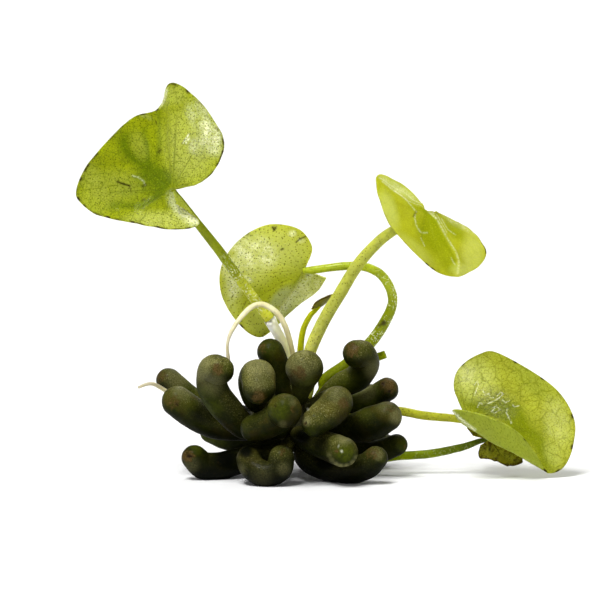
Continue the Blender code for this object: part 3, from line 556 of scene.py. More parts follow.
def tube_object(name, rings, ends, finish, attributes):
    count, sides = rings.shape[:2]
    points = np.vstack([rings.reshape(-1, 3), ends])
    full = {}
    for key, values in attributes.items():
        values = np.asarray(values, float).reshape(count, sides)
        full[key] = np.concatenate([values.ravel(), [values[0].mean(), values[-1].mean()]])
    return mesh_object(name, points, tube_faces(count, sides), finish, full)


def dress(obj, slot, *nodes):
    """The piece rides with the plant and stands for those nodes; slot is not used."""
    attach(obj, "root")
    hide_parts(*nodes)


# Material building

class Nodes:
    """Puts shader nodes together in a node tree."""

    def __init__(self, tree):
        self.tree = tree

    def put(self, socket, value):
        """Links the socket to another one, or gives it a plain value."""
        if isinstance(value, bpy.types.NodeSocket):
            self.tree.links.new(value, socket)
        elif socket.type == "RGBA" and len(value) == 3:
            socket.default_value = (*value, 1.0)
        else:
            socket.default_value = value

    def add(self, kind, inputs=None, **settings):
        """The outputs of a new node with those settings, and inputs by name or number."""
        node = self.tree.nodes.new("ShaderNode" + kind)
        for name, value in settings.items():
            setattr(node, name, value)
        for name, value in (inputs or {}).items():
            self.put(node.inputs[name], value)
        return node.outputs

    def stretch(self, vector, scale):
        return self.add("Mapping", {"Vector": vector, "Scale": scale})["Vector"]

    def coords(self):
        """Object coordinates in millimetres."""
        return self.stretch(self.add("TexCoord")["Object"], (1 / MM,) * 3)

    def attribute(self, name, output="Fac"):
        return self.add("Attribute", attribute_name=name)[output]

    def noise(self, vector, scale, detail, roughness=0.55, distortion=0.0):
        return self.add("TexNoise", {"Vector": vector, "Scale": scale, "Detail": detail,
                                     "Roughness": roughness, "Distortion": distortion})["Fac"]

    def wander(self, vector, scale, amount):
        """The same coordinates, pushed about by smooth noise so that patterns on them aren't straight."""
        push = self.add("TexNoise", {"Vector": vector, "Scale": scale})["Color"]
        inputs = {0: push, 1: (amount,) * 3, 2: vector}
        return self.add("VectorMath", inputs, operation="MULTIPLY_ADD")["Vector"]

    def cells(self, vector, scale, feature="F1", dimensions="3D"):
        return self.add("TexVoronoi", {"Vector": vector, "Scale": scale}, voronoi_dimensions=dimensions,
                        feature=feature)["Distance"]

    def net(self, vector, scale):
        """Distance to the nearest line of an irregular net on the flat coordinates."""
        return self.cells(vector, scale, "DISTANCE_TO_EDGE", "2D")

    def math(self, operation, a, b):
        return self.add("Math", {0: a, 1: b}, operation=operation)[0]

    def times(self, a, b):
        return self.math("MULTIPLY", a, b)

    def rise(self, value, low, high, to_low=0.0, to_high=1.0):
        """Maps low..high smoothly to to_low..to_high, held at both ends."""
        inputs = {"Value": value, "From Min": low, "From Max": high, "To Min": to_low, "To Max": to_high}
        return self.add("MapRange", inputs, interpolation_type="SMOOTHSTEP")["Result"]

    def bump(self, height, distance, onto=None):
        """Turns a height field, in units of distance millimetres, into a normal."""
        inputs = {"Strength": 1.0, "Distance": distance * MM, "Height": height}
        return self.add("Bump", inputs if onto is None else {**inputs, "Normal": onto})["Normal"]


class Finish(Nodes):
    """A Principled material whose colour is painted in layers."""

    def __init__(self, name, colour):
        self.material = bpy.data.materials.new(name)
        self.material.use_nodes = True
        super().__init__(self.material.node_tree)
        self.colour = colour

    def paint(self, cover, colour, blend="MIX"):
        """Lays a colour over the last one where cover is near 1."""
        self.colour = self.add("Mix", {0: cover, 6: self.colour, 7: colour}, data_type="RGBA",
                               blend_type=blend)[2]

    def done(self, **values):
        """Puts the painted colour and those values on the shader's own sockets, and gives the material."""
        shader = self.tree.nodes["Principled BSDF"]
        for name, value in {"Base Color": self.colour, **values}.items():
            self.put(shader.inputs[name.replace("_", " ")], value)
        return self.material


def dimmed(colour, share):
    return tuple(share * v for v in colour)


def root_skin():
    """Dark olive skin with a pale grainy bloom that is partly painted light on the tops, painted shade low
    down and underneath, bare green places, brown corky marks and painted glints.
    """
    f = Finish("banana_root_skin", (0.0085, 0.0125, 0.0004))
    at = f.coords()
    mottle = f.noise(at, 1.3, 5, 0.65)
    grain = f.noise(at, 4.5, 3, 0.8)
    f.paint(f.rise(f.noise(at, 0.30, 4, 0.6), 0.35, 0.68), (0.024, 0.030, 0.0006))
    f.paint(f.rise(f.noise(at, 0.22, 2, 0.5, 0.4), 0.50, 0.68, 0.0, 0.6), (0.040, 0.028, 0.0008))
    f.paint(f.rise(mottle, 0.48, 0.75, 0.0, 0.55), (0.040, 0.041, 0.0025))
    # Painted shade, nearly black.
    f.paint(f.attribute("shade"), (0.0012, 0.0018, 0.0002))
    f.paint(f.times(f.attribute("fresh"), f.rise(mottle, 0.30, 0.60, 0.35, 1.0)), (0.050, 0.066, 0.0010))
    # Pale grainy bloom, partly real and partly painted light on the lit tops.
    bloom_and_light = f.attribute("bloom_and_light")
    f.paint(f.times(f.times(bloom_and_light, f.rise(grain, 0.36, 0.64, 0.05, 1.0)), 0.85), (0.215, 0.205, 0.048))
    # pale: thick bloom and worn skin, and also painted light on lit places and on places in shade.
    pale = f.times(f.attribute("pale"), f.rise(grain, 0.30, 0.66, 0.3, 1.0))
    f.paint(f.times(pale, 0.75), (0.25, 0.24, 0.095))
    f.paint(f.times(f.rise(f.cells(at, 2.1), 0.12, 0.34, 0.9, 0.0), bloom_and_light), (0.30, 0.285, 0.115))
    ragged = f.math("ADD", f.attribute("brown"), f.rise(mottle, 0.25, 0.75, -0.45, 0.45))
    f.paint(f.rise(ragged, 0.2, 0.95, 0.0, 0.75), (0.052, 0.030, 0.006))
    corky = f.times(f.rise(ragged, 0.45, 1.1), f.rise(grain, 0.45, 0.62))
    f.paint(f.times(corky, 0.8), (0.125, 0.080, 0.028))
    f.paint(f.attribute("pit"), (0.010, 0.005, 0.002))
    # Painted highlight: tiny white glints.
    f.paint(f.attribute("glint"), (0.80, 0.82, 0.62))
    return f.done(Normal=f.bump(mottle, 0.10, onto=f.bump(grain, 0.06)),
                  Roughness=f.rise(grain, 0.3, 0.7, 0.42, 0.62),
                  Coat_Weight=0.03, Coat_Roughness=0.12, Specular_IOR_Level=0.03)


def crown_skin():
    """Rough dark rhizome with old root scars."""
    f = Finish("crown_skin", (0.012, 0.014, 0.004))
    at = f.coords()
    patches = f.noise(at, 0.9, 5, 0.65)
    f.paint(f.rise(patches, 0.35, 0.7), (0.06, 0.055, 0.02))
    f.paint(f.rise(f.cells(at, 1.1), 0.1, 0.5, 0.5, 0.0), (0.05, 0.03, 0.014))
    return f.done(Normal=f.bump(patches, 0.4), Roughness=f.rise(patches, 0.3, 0.7, 0.5, 0.8),
                  Specular_IOR_Level=0.08)


def leaf_skin(name, light, deep, grey, net, dots=None, worn=0.0):
    """A thin wet blade. net gives the scale and strength of its vein net. dots gives how many there are to a
    millimetre, their strength, their size in that scale and their colour."""
    f = Finish(name, light)
    flat = f.attribute("flat", "Vector")
    share = f.attribute("share")
    mottle = f.noise(flat, 0.8, 4, 0.6)
    cloud = f.noise(flat, 3.2, 4, 0.75)
    f.paint(f.rise(f.noise(flat, 0.16, 3), 0.32, 0.68), dimmed(light, 0.80))
    # deep: darker green, partly painted shade in folds and valleys.
    f.paint(f.attribute("deep"), deep)
    f.paint(f.attribute("grey"), grey)
    # bright: paler, yellower patches, partly painted light.
    f.paint(f.attribute("bright"), (0.58, 0.61, 0.14))
    net_scale, net_strength = net
    wide = f.net(f.wander(flat, 0.7, 1.3), net_scale)
    small = f.net(f.wander(flat, 1.8, 0.5), 3 * net_scale)
    veins = f.math("MAXIMUM", f.rise(wide, 0.0, 0.10, 1.0, 0.0), f.rise(small, 0.0, 0.16, 0.7, 0.0))
    veins = f.times(veins, f.rise(mottle, 0.35, 0.6, 0.3, 1.0))
    veins = f.math("MAXIMUM", veins, f.times(f.attribute("vein"), 0.8))
    f.paint(f.times(veins, net_strength), dimmed(deep, 0.6))
    f.paint(f.rise(cloud, 0.50, 0.72, 0.0, 0.45), tuple(1.5 * v + 0.004 for v in light))
    f.paint(f.rise(cloud, 0.30, 0.48, 0.30, 0.0), dimmed(light, 0.55))
    f.paint(f.times(f.attribute("under"), 0.6), grey)
    # Painted highlight: nearly white sheen, broken up into a film.
    film = f.noise(f.wander(flat, 1.2, 0.8), 2.6, 5, 0.8)
    sheen = f.times(f.attribute("sheen"), f.rise(film, 0.42, 0.58, 0.2, 1.0))
    f.paint(f.times(sheen, 0.95), (0.93, 0.94, 0.60))
    # Painted highlight: pale gleam lines on folds and wrinkles.
    gleam = f.times(f.attribute("gleam"), f.rise(f.noise(flat, 2.6, 2, 0.5), 0.40, 0.52, 0.25, 1.0))
    f.paint(f.times(gleam, 0.95), (0.92, 0.93, 0.66))
    if dots:
        per_mm, strength, size, dot_colour = dots
        spots = f.cells(f.wander(flat, 3.0, 0.3), per_mm, dimensions="2D")
        spots = f.math("ADD", spots, f.rise(mottle, 0.35, 0.65, -0.04, 0.05))
        spots = f.rise(spots, 0.4 * size, size, strength, 0.0)
        f.paint(f.times(spots, f.rise(share, 0.0, 0.1)), dot_colour)
    if worn:
        brown = f.rise(f.noise(flat, 0.5, 4, 0.65), 0.45, 0.62, 0.0, worn)
        f.paint(f.math("MAXIMUM", brown, f.rise(share, 0.84, 0.99, 0.0, 0.9)), (0.050, 0.024, 0.002))
        f.paint(f.rise(f.noise(flat, 0.8, 3, 0.6, 0.5), 0.50, 0.64, 0.0, 0.8), (0.24, 0.22, 0.008))
    f.paint(f.attribute("mark"), (0.026, 0.018, 0.002))
    height = f.math("ADD", f.times(veins, -0.4), f.times(cloud, 0.8))
    wet = f.attribute("wet")
    wrinkles = f.rise(f.net(f.wander(flat, 1.0, 1.0), 1.1), 0.0, 0.22)
    return f.done(Normal=f.bump(f.times(wrinkles, wet), 0.22, onto=f.bump(height, 0.07)),
                  Roughness=f.rise(cloud, 0.3, 0.7, 0.38, 0.55), Coat_Weight=f.rise(wet, 0.0, 0.6, 0.04, 0.8),
                  Coat_Roughness=0.05, Specular_IOR_Level=0.03,
                  Subsurface_Weight=0.45, Subsurface_Scale=0.0008, Subsurface_Radius=GREEN_SCATTER)


def stalk_skin(name, foot, top, dot_strength, gloss=0.1, change=(0.10, 0.45), glints_from=-0.10):
    """Smooth juicy stalk with fine dark dots, whose colour changes between two places along it. Its glints
    run from glints_from to where the change ends."""
    f = Finish(name, foot)
    at = f.coords()
    along = f.attribute("along")
    patches = f.noise(at, 0.35, 3, 0.5)
    streaks = f.noise(at, 1.6, 4, 0.65)
    f.paint(f.rise(along, *change), top)
    f.paint(f.rise(patches, 0.40, 0.62, 0.0, 0.35), dimmed(top, 0.6))
    f.paint(f.rise(streaks, 0.36, 0.52, 0.5, 0.0), (0.62, 0.65, 0.4), "MULTIPLY")
    f.paint(f.rise(f.cells(at, 1.7), 0.13, 0.28, dot_strength, 0.0), (0.075, 0.075, 0.004))
    # Painted highlights: small white glints along the stalk.
    glints = f.times(f.rise(f.noise(at, 2.2, 3, 0.6), 0.54, 0.60), f.rise(patches, 0.38, 0.52))
    glints = f.times(glints, f.rise(along, change[1] - 0.05, change[1] + 0.07, 1.0, 0.0))
    glints = f.times(glints, f.rise(along, glints_from, glints_from + 0.06))
    f.paint(f.times(glints, gloss), (0.90, 0.92, 0.55))
    f.paint(f.attribute("mark"), (0.05, 0.04, 0.004))
    return f.done(Normal=f.bump(streaks, 0.2), Roughness=f.rise(streaks, 0.3, 0.7, 0.40, 0.55),
                  Subsurface_Weight=0.55, Subsurface_Scale=0.0015, Subsurface_Radius=GREEN_SCATTER,
                  Coat_Weight=0.3 * gloss, Coat_Roughness=0.1, Specular_IOR_Level=0.04)


def pale_skin(name, foot, middle, end):
    """Creamy, slightly see-through root or sheath, from its colour at the foot to that at the end."""
    f = Finish(name, foot)
    at = f.coords()
    along = f.attribute("along")
    streaks = f.noise(f.stretch(at, (2.0, 2.0, 0.4)), 1.2, 3, 0.6)
    f.paint(f.rise(along, 0.22, 0.50), middle)
    f.paint(f.rise(along, 0.60, 0.95), end)
    f.paint(f.rise(f.noise(at, 0.3, 3, 0.5), 0.45, 0.65, 0.0, 0.35), dimmed(foot, 0.7))
    f.paint(f.rise(streaks, 0.5, 0.75, 0.0, 0.4), dimmed(foot, 0.8))
    return f.done(Normal=f.bump(streaks, 0.1), Roughness=0.4, Coat_Weight=0.1, Coat_Roughness=0.2,
                  Subsurface_Weight=0.4, Subsurface_Scale=0.0008, Subsurface_Radius=(1.0, 0.9, 0.5))


# Roots and stalks

def seen_from_front(points):
    """Each point's place as the front view shows it: across, and height on the picture plane."""
    return np.stack([points[..., 0], points[..., 2] + VIEW_RISE * points[..., 1]], axis=-1)


def surface_point_at(rings, outward, place):
    """The point of a root's front surface that the front view shows nearest to that place."""
    gap = np.linalg.norm(seen_from_front(rings) - np.array(place), axis=-1)
    gap[outward[..., 1] >= 0.1] = np.inf
    return rings.reshape(-1, 3)[np.argmin(gap)]


def round_end(path, rings):
    """Path points that close its end as half a ball."""
    centre, radius = path[-1, :3], path[-1, 3]
    way = unit(centre - path[-2, :3])
    angles = np.linspace(0, np.pi / 2, rings + 2)[1:-1]
    return np.array([[*(centre + way * radius * math.sin(a)), radius * math.cos(a)] for a in angles])


def ball_directions(path, outward, rings):
    """Outward directions that turn towards the tip over the round end."""
    way = unit(path[-1, :3] - path[-2, :3])
    angles = np.linspace(0, np.pi / 2, rings + 2)[1:-1, None, None]
    return np.concatenate([outward[:-rings], np.cos(angles) * outward[-rings:] + np.sin(angles) * way])


def spot_values(kind, spots, seen):
    """How strongly each point lies in the spots of that kind, from 0 to 1."""
    values = np.zeros(seen.shape[:-1])
    for name, x, height, radius, strength in spots:
        if name == kind:
            away = np.linalg.norm(seen - np.array((x, height)), axis=-1)
            values = np.maximum(values, strength * soft_drop(away, 0.3 * radius, 1.3 * radius))
    return values


def scar_shape(kind, away, radius, rings, seed):
    """How far a scar raises or sinks the skin."""
    if kind == "rings":
        waves = np.sin(away * 9.5 + 1.5 * lumps(rings, 1.2, seed))
        return 0.04 * waves * soft_drop(away, 0.7 * radius, 1.1 * radius)
    if kind == "cap":
        return 0.10 * np.exp(-((away - radius) / 0.4) ** 2) - 0.16 * soft_drop(away, 0.75 * radius, radius)
    if kind == "dent":
        return -0.14 * soft_drop(away, 0.2 * radius, radius) + 0.03 * lumps(rings, 0.5, seed)
    lip = 0.11 * np.exp(-((away - radius) / (0.45 * radius)) ** 2)
    return lip - 0.34 * np.exp(-(away / (0.55 * radius)) ** 2)


def make_banana_root(number, points, finish):
    name = f"banana_root_{number:02d}"
    base = (*crown_surface_towards(points[0]), ROOT_BASE_RADIUS)
    shaft = smooth_through([base, *points], ROOT_STEP)
    rings, outward = sweep(np.vstack([shaft, round_end(shaft, TIP_RINGS)]), ROOT_SIDES)
    outward = ball_directions(shaft, outward, TIP_RINGS)
    way = unit(shaft[-1, :3] - shaft[-2, :3])
    tip = shaft[-1, :3] + way * shaft[-1, 3]
    seen = seen_from_front(rings)
    front = soft_step(-outward[..., 1], -0.25, 0.15)
    spots = {kind: spot_values(kind, ROOT_SPOTS.get(number, []), seen) * front for kind in SPOT_KINDS}
    if number not in ROOT_SPOTS:
        spots["brown"] = 0.8 * soft_drop(np.linalg.norm(rings - tip, axis=-1), 0.4, 2.2)
    swell = 0.13 * lumps(rings, 4.0, number) + 0.05 * lumps(rings, 1.5, number + 40)
    if number in ROOT_SCARS:
        kind, x, height, radius = ROOT_SCARS[number]
        gap = rings - surface_point_at(rings, outward, (x, height))
        if kind == "oval":
            gap = gap * (0.55, 0.8, 1.6)
        away = np.linalg.norm(gap, axis=-1)
        swell += scar_shape(kind, away, radius, rings, number + 80) * front
        if kind in ("oval", "pinhole"):
            spots["pit"] = np.maximum(spots["pit"], 0.85 * soft_drop(away / radius, 0.25, 0.7))
    swell -= 0.12 * spots["pit"]
    rings = rings + outward * swell[..., None]
    rings[..., 2] = np.maximum(rings[..., 2], 0.0)
    # Painted shade: darker towards the floor, on the undersides and in the dark spots; fresh and brown places
    # take less of it.
    shade = np.maximum(soft_drop(rings[..., 2], 0.0, 12.0), 0.75 * soft_drop(outward[..., 2], -0.9, 0.5))
    shade = shade * (1 - 0.6 * np.maximum(spots["fresh"], spots["brown"]))
    shade = np.maximum(shade, spots.pop("dark"))
    # Bloom is partly real waxy bloom and partly painted light: lighter where the skin faces up and forward,
    # and on roots in the light.
    bloom_and_light = soft_step(outward[..., 2] - 0.25 * outward[..., 1], -0.35, 0.95)
    bloom_and_light = bloom_and_light * np.clip(0.8 + 0.7 * lumps(rings, 3.0, number + 120), 0.1, 1.3)
    bloom_and_light = BLOOM_AND_LIGHT.get(number, PLAIN_BLOOM_AND_LIGHT) * bloom_and_light * (1 - 0.85 * spots["fresh"]) * (1 - shade)
    ends = np.array([shaft[0, :3], tip - way * 0.02])
    attributes = {**spots, "bloom_and_light": np.clip(bloom_and_light, 0, 1), "shade": shade}
    dress(tube_object("skin_of_" + name, rings, ends, finish, attributes), "banana_root_skin", name)


def make_crown(finish):
    bpy.ops.mesh.primitive_uv_sphere_add(segments=64, ring_count=40, radius=1.0)
    obj = bpy.context.active_object
    obj.name = "skin_of_crown"
    points = np.array([v.co for v in obj.data.vertices])
    swell = 1 + 0.04 * lumps(points, 0.35, 3) + 0.03 * lumps(points, 0.12, 5)
    placed = to_metres(points * swell[:, None] * CROWN_RADII * CROWN_SHARE + CROWN_CENTRE)
    obj.data.vertices.foreach_set("co", placed.ravel())
    obj.data.shade_smooth()
    obj.data.materials.append(finish)
    dress(obj, "crown_skin", "crown")


def make_stalk(name, points, finish, slot, from_crown=True, mouth=0.0):
    """A stalk, thin root or sheath: a tube that reaches into its blade, or is open at the top, mouth deep."""
    points = list(points)
    if from_crown:
        points.insert(0, (*crown_surface_towards(points[0]), points[0][3]))
    blade = name.replace("stem", "leaf")
    if blade in LEAVES:
        points.append((*LEAVES[blade][0], 0.75 * points[-1][3]))
    path = smooth_through(points, STALK_STEP)
    rings, outward = sweep(path, STALK_SIDES)
    rings = rings + outward * (STALK_SWELL * lumps(rings, 1.2, len(name)))[..., None]
    way = unit(path[-1, :3] - path[-2, :3])
    if mouth:
        rings[-1] += outward[-1] * 0.12 + way * (0.5 + 0.7 * lumps(rings[-1], 0.9, 4))[:, None]
    ends = np.array([path[0, :3], path[-1, :3] - way * mouth])
    along = np.linspace(0, 1, len(path))[:, None] * np.ones(STALK_SIDES)
    mark = spot_values("brown", STALK_MARKS.get(name, []), seen_from_front(rings))
    dress(tube_object("skin_of_" + name, rings, ends, finish, {"along": along, "mark": mark}), slot, name)


# Blades

def blade_grid(name, ribs, rings, ragged):
    """Points of a blade as a fan of ribs from the stalk, and the same blade laid out flat."""
    joint, rim = LEAVES[name]
    folds = RIB_FOLDS.get(name, {})
    rim = [(*point, *folds.get(i, (0, 0, 0))) for i, point in enumerate(rim)]
    dense = smooth_through(rim, 0.05)
    lengths = np.concatenate([[0], np.cumsum(np.linalg.norm(np.diff(dense[:, :3], axis=0), axis=1))])
    wanted = np.linspace(0, lengths[-1], ribs + 1)
    ends = np.stack([np.interp(wanted, lengths, dense[:, c]) for c in range(7)], axis=1)
    shares = np.linspace(0, 1, rings + 1)
    start = np.array(joint)
    if ragged:
        tears = lumps(ends[:, :3], 2.2, 31) + 0.7 * lumps(ends[:, :3], 0.8, 32)
        ends[:, :3] = start + (ends[:, :3] - start) * (1 + ragged * tears)[:, None]
    grid = start + (ends[:, None, :3] - start) * shares[None, :, None]
    bend = ends[:, 4:7].copy()
    bend[:, 1] += ends[:, 3]
    grid += bend[:, None, :] * (4 * shares * (1 - shares))[None, :, None]
    spokes = ends[:, :3] - start
    reach = np.linalg.norm(spokes, axis=1)
    cosines = np.clip(np.sum(unit(spokes[:-1]) * unit(spokes[1:]), axis=1), -1, 1)
    turn = np.concatenate([[0], np.cumsum(np.arccos(cosines))])
    flat = np.stack([np.cos(turn), np.sin(turn), np.zeros_like(turn)], axis=1)
    flat = flat[:, None, :] * reach[:, None, None] * shares[None, :, None]
    return grid, flat, shares, turn


def grid_normals(grid):
    """Each point's direction off the blade, on the side that mostly faces the front."""
    normals = unit(np.cross(np.gradient(grid, axis=0), np.gradient(grid, axis=1)))
    normals[:, 0] = unit(normals[:, 1].mean(axis=0))
    turned = normals[..., 1].mean() > 0
    return (-normals if turned else normals), turned


def patch_values(kind, name, seen):
    """How strongly each point of a blade lies in its patches of that kind."""
    values = np.zeros(seen.shape[:-1])
    for patch, x, height, wide, high, turn, strength in BLADE_PATCHES.get(name, []):
        if patch == kind:
            angle = math.radians(turn)
            dx, dz = seen[..., 0] - x, seen[..., 1] - height
            across = (dx * math.cos(angle) + dz * math.sin(angle)) / wide
            up = (dz * math.cos(angle) - dx * math.sin(angle)) / high
            values = np.maximum(values, strength * soft_drop(np.hypot(across, up), 0.4, 1.3))
    return values


def line_distance(line, seen):
    """Each point's distance to a line of points, as the front view shows both."""
    points = np.array(line, float)
    nearest = np.full(seen.shape[:-1], np.inf)
    for start, end in zip(points[:-1], points[1:]):
        way = end - start
        t = np.clip(((seen - start) @ way) / max(way @ way, 1e-9), 0, 1)
        nearest = np.minimum(nearest, np.linalg.norm(seen - start - t[..., None] * way, axis=-1))
    return nearest


def soft_line(ratio):
    return np.exp(-ratio ** 2)


def sharp_fold(ratio):
    return np.exp(-ratio)


def line_values(kinds, name, seen, front_lobe, profile=soft_line):
    """Adds up the lines of those kinds with the given profile of distance over width."""
    values = np.zeros(seen.shape[:-1])
    for kind, width, strength, line in BLADE_LINES.get(name, []):
        own_kind = kind.removeprefix("lobe_")
        if own_kind in kinds:
            sign = -1.0 if own_kind == "groove" else 1.0
            side = 1 - front_lobe if kind == own_kind else front_lobe
            values += sign * strength * profile(line_distance(line, seen) / width) * side
    return values


def vein_lines(flat, shares, turn, veins, seed):
    """How strongly each point lies on one of the main veins, which fade towards the rim."""
    spacing = turn[-1] / (veins + 1)
    phase = (turn / spacing + 0.12 * np.sin(turn * 5 + seed)) % 1.0
    across = np.abs(phase - 0.5) * spacing
    distance = across[:, None] * np.linalg.norm(flat, axis=-1)
    return soft_drop(distance, 0.05, 0.3) * soft_drop(shares, 0.45, 0.9) * soft_step(shares, 0.05, 0.2)


def rim_marks(name, grid, seen, shares, seed, rim_line):
    """Dark nicks in the rim, and a broken dark line along it."""
    nick = np.zeros(seen.shape[:-1])
    for place in RIM_NICKS.get(name, []):
        away = np.linalg.norm(seen - np.array(place), axis=-1)
        nick = np.maximum(nick, soft_drop(away, 0.25, 0.8))
    worn = rim_line * np.clip(0.3 + 1.6 * lumps(grid[:, -1], 2.0, seed + 50), 0, 1)
    return np.maximum(nick * soft_step(shares, 0.97, 0.99), worn[:, None] * soft_step(shares, 0.975, 1.0))


def blade_faces(ribs, rings, turned):
    """Faces of a fan of ribs that share their first point, and which grid points they use."""
    index = np.arange((ribs + 1) * (rings + 1)).reshape(ribs + 1, rings + 1)
    index[:, 0] = 0
    used, index = np.unique(index, return_inverse=True)
    rows = index.reshape(ribs + 1, rings + 1).tolist()
    faces = []
    for this, after in zip(rows[:-1], rows[1:]):
        faces.append((this[0], this[1], after[1]))
        faces += [(this[j], this[j + 1], after[j + 1], after[j]) for j in range(1, rings)]
    return (faces if turned else [face[::-1] for face in faces]), used


def thicken(sheet, attributes, lobe):
    """Gives the sheet its thickness. Shine stays on the side that faces the front, also on a folded lobe."""
    shell = sheet.modifiers.new("thickness", "SOLIDIFY")
    shell.thickness = BLADE_THICKNESS * MM
    shell.offset = 0.0
    graph = bpy.context.evaluated_depsgraph_get()
    thick = bpy.data.meshes.new_from_object(sheet.evaluated_get(graph))
    sheet.modifiers.clear()
    sheet.data = thick
    under = np.zeros(len(thick.vertices))
    under[len(lobe):] = 1.0
    add_attributes(thick, {"under": under})
    for key in ("sheen", "gleam", "wet", "bright"):
        both = np.concatenate([attributes[key] * (1 - lobe), attributes[key] * lobe])
        thick.attributes[key].data.foreach_set("value", both)


def make_blade(name, finish, slot, size, seed, quilt, ripple, veins, rim_line=0.3, ragged=0.0):
    """A blade with that many ribs and rings. quilt and ripple are the heights of its bulges and rim waves."""
    ribs, rings = size
    grid, flat, shares, turn = blade_grid(name, ribs, rings, ragged)
    normals, turned = grid_normals(grid)
    seen = seen_from_front(grid)
    lobe_start = FRONT_LOBE.get(name, NO_LOBE)
    way_round = np.linspace(0, 1, ribs + 1)[:, None] * np.ones(rings + 1)
    front_lobe = soft_step(way_round, lobe_start - 0.01, lobe_start + 0.01)
    behind = 1 - front_lobe

    height = quilt * lumps(flat, 3.4, seed) + 0.35 * quilt * lumps(flat, 1.3, seed + 7)
    height = height * soft_step(shares, 0.0, 0.3)
    height += ripple * soft_step(shares, 0.75, 1.0) * lumps(flat, 2.4, seed + 13)
    wet = patch_values("wet", name, seen) * behind
    height += wet * 0.10 * (1 - 2 * np.abs(lumps(flat, 0.9, seed + 21)))
    height += line_values(("ridge", "groove"), name, seen, front_lobe, sharp_fold)

    vein = vein_lines(flat, shares, turn, veins, seed)
    mark = np.clip(line_values(("mark",), name, seen, front_lobe), 0, 1)
    mark = np.maximum(mark, rim_marks(name, grid, seen, shares, seed, rim_line))
    # sheen is a painted highlight, broken up by noise.
    sheen = patch_values("sheen", name, seen) * behind
    sheen = sheen * np.clip(0.85 + 0.9 * lumps(flat, 1.6, seed + 60), 0.1, 1)
    gleam = np.clip(line_values(("gleam",), name, seen, front_lobe), 0, 1)
    grey = np.maximum(patch_values("grey", name, seen), front_lobe)
    # deep is partly painted shade in folds and valleys, and darker green rays near the joint.
    deep = patch_values("deep", name, seen) * behind + line_values(("deep",), name, seen, front_lobe)
    rays = 0.5 + 0.8 * lumps(np.stack([turn * 4, turn * 0, turn * 0 + seed], axis=1), 1.0, seed)[:, None]
    deep = np.maximum(np.clip(deep, 0, 1), np.clip(rays, 0, 1) * soft_drop(shares, 0.06, 0.50))
    layers = {"share": np.broadcast_to(shares, seen.shape[:-1]), "vein": vein, "mark": mark, "sheen": sheen,
              "gleam": gleam, "grey": grey, "bright": patch_values("bright", name, seen) * behind,
              "deep": deep, "wet": wet}

    grid = grid + normals * (height - 0.03 * vein)[..., None]
    faces, used = blade_faces(ribs, rings, turned)
    attributes = {key: values.reshape(-1)[used] for key, values in layers.items()}
    attributes["flat"] = flat.reshape(-1, 3)[used]
    sheet = mesh_object("skin_of_" + name, grid.reshape(-1, 3)[used], faces, finish, attributes)
    thicken(sheet, attributes, front_lobe.reshape(-1)[used])
    dress(sheet, slot, name)


# Stage

def make_camera():
    data = bpy.data.cameras.new("camera")
    data.sensor_width = SENSOR_WIDTH
    data.lens = SENSOR_WIDTH * CAMERA_DISTANCE / FRAME_WIDTH
    camera = add_object("camera", data)
    back = Vector((0, -math.cos(CAMERA_ELEVATION), math.sin(CAMERA_ELEVATION)))
    camera.location = Vector(to_metres(CAMERA_AIM)) + back * CAMERA_DISTANCE
    camera.rotation_euler = (-back).to_track_quat("-Z", "Y").to_euler()
    bpy.context.scene.camera = camera


def make_floor():
    bpy.ops.mesh.primitive_plane_add(size=FLOOR_SIZE)
    floor = bpy.context.active_object
    floor.name = "floor"
    f = Finish("floor_paper", (0.86, 0.86, 0.86))
    f.paint(f.noise(f.coords(), 0.02, 2), (0.88, 0.88, 0.88))
    floor.data.materials.append(f.done(Roughness=0.9))


def area_light(name, place, size, watts):
    data = bpy.data.lights.new(name, "AREA")
    data.shape = "SQUARE"
    data.size = size
    data.energy = watts
    light = add_object(name, data)
    light.location = place
    light.rotation_euler = (Vector(LIGHT_AIM) - Vector(place)).to_track_quat("-Z", "Y").to_euler()


def soft_sun(name, comes_from, spread, strength):
    """An even light from far away, as from a large soft box of that spread in degrees."""
    data = bpy.data.lights.new(name, "SUN")
    data.angle = math.radians(spread)
    data.energy = strength
    add_object(name, data).rotation_euler = Vector(comes_from).to_track_quat("Z", "Y").to_euler()


def make_world():
    """White round the horizon, as on a studio table, and dimmer overhead to leave the plant its shade."""
    world = bpy.data.worlds.new("studio")
    bpy.context.scene.world = world
    world.use_nodes = True
    n = Nodes(world.node_tree)
    height = n.add("SeparateXYZ", {"Vector": n.add("TexCoord")["Generated"]})["Z"]
    sky = n.tree.nodes["Background"].inputs
    n.put(sky["Strength"], n.rise(height, 0.10, 0.30, 1.0, 0.30))
    n.put(sky["Color"], (1.0, 1.0, 1.0))


def make_lights():
    make_world()
    soft_sun("key", (-0.25, -0.35, 1.0), 25.0, 2.5)
    soft_sun("back", (0.25, 0.9, 0.9), 30.0, 1.2)
    area_light("glint", (-0.20, -0.45, 0.62), 0.07, 1.6)
    bpy.context.scene.view_settings.view_transform = "Standard"


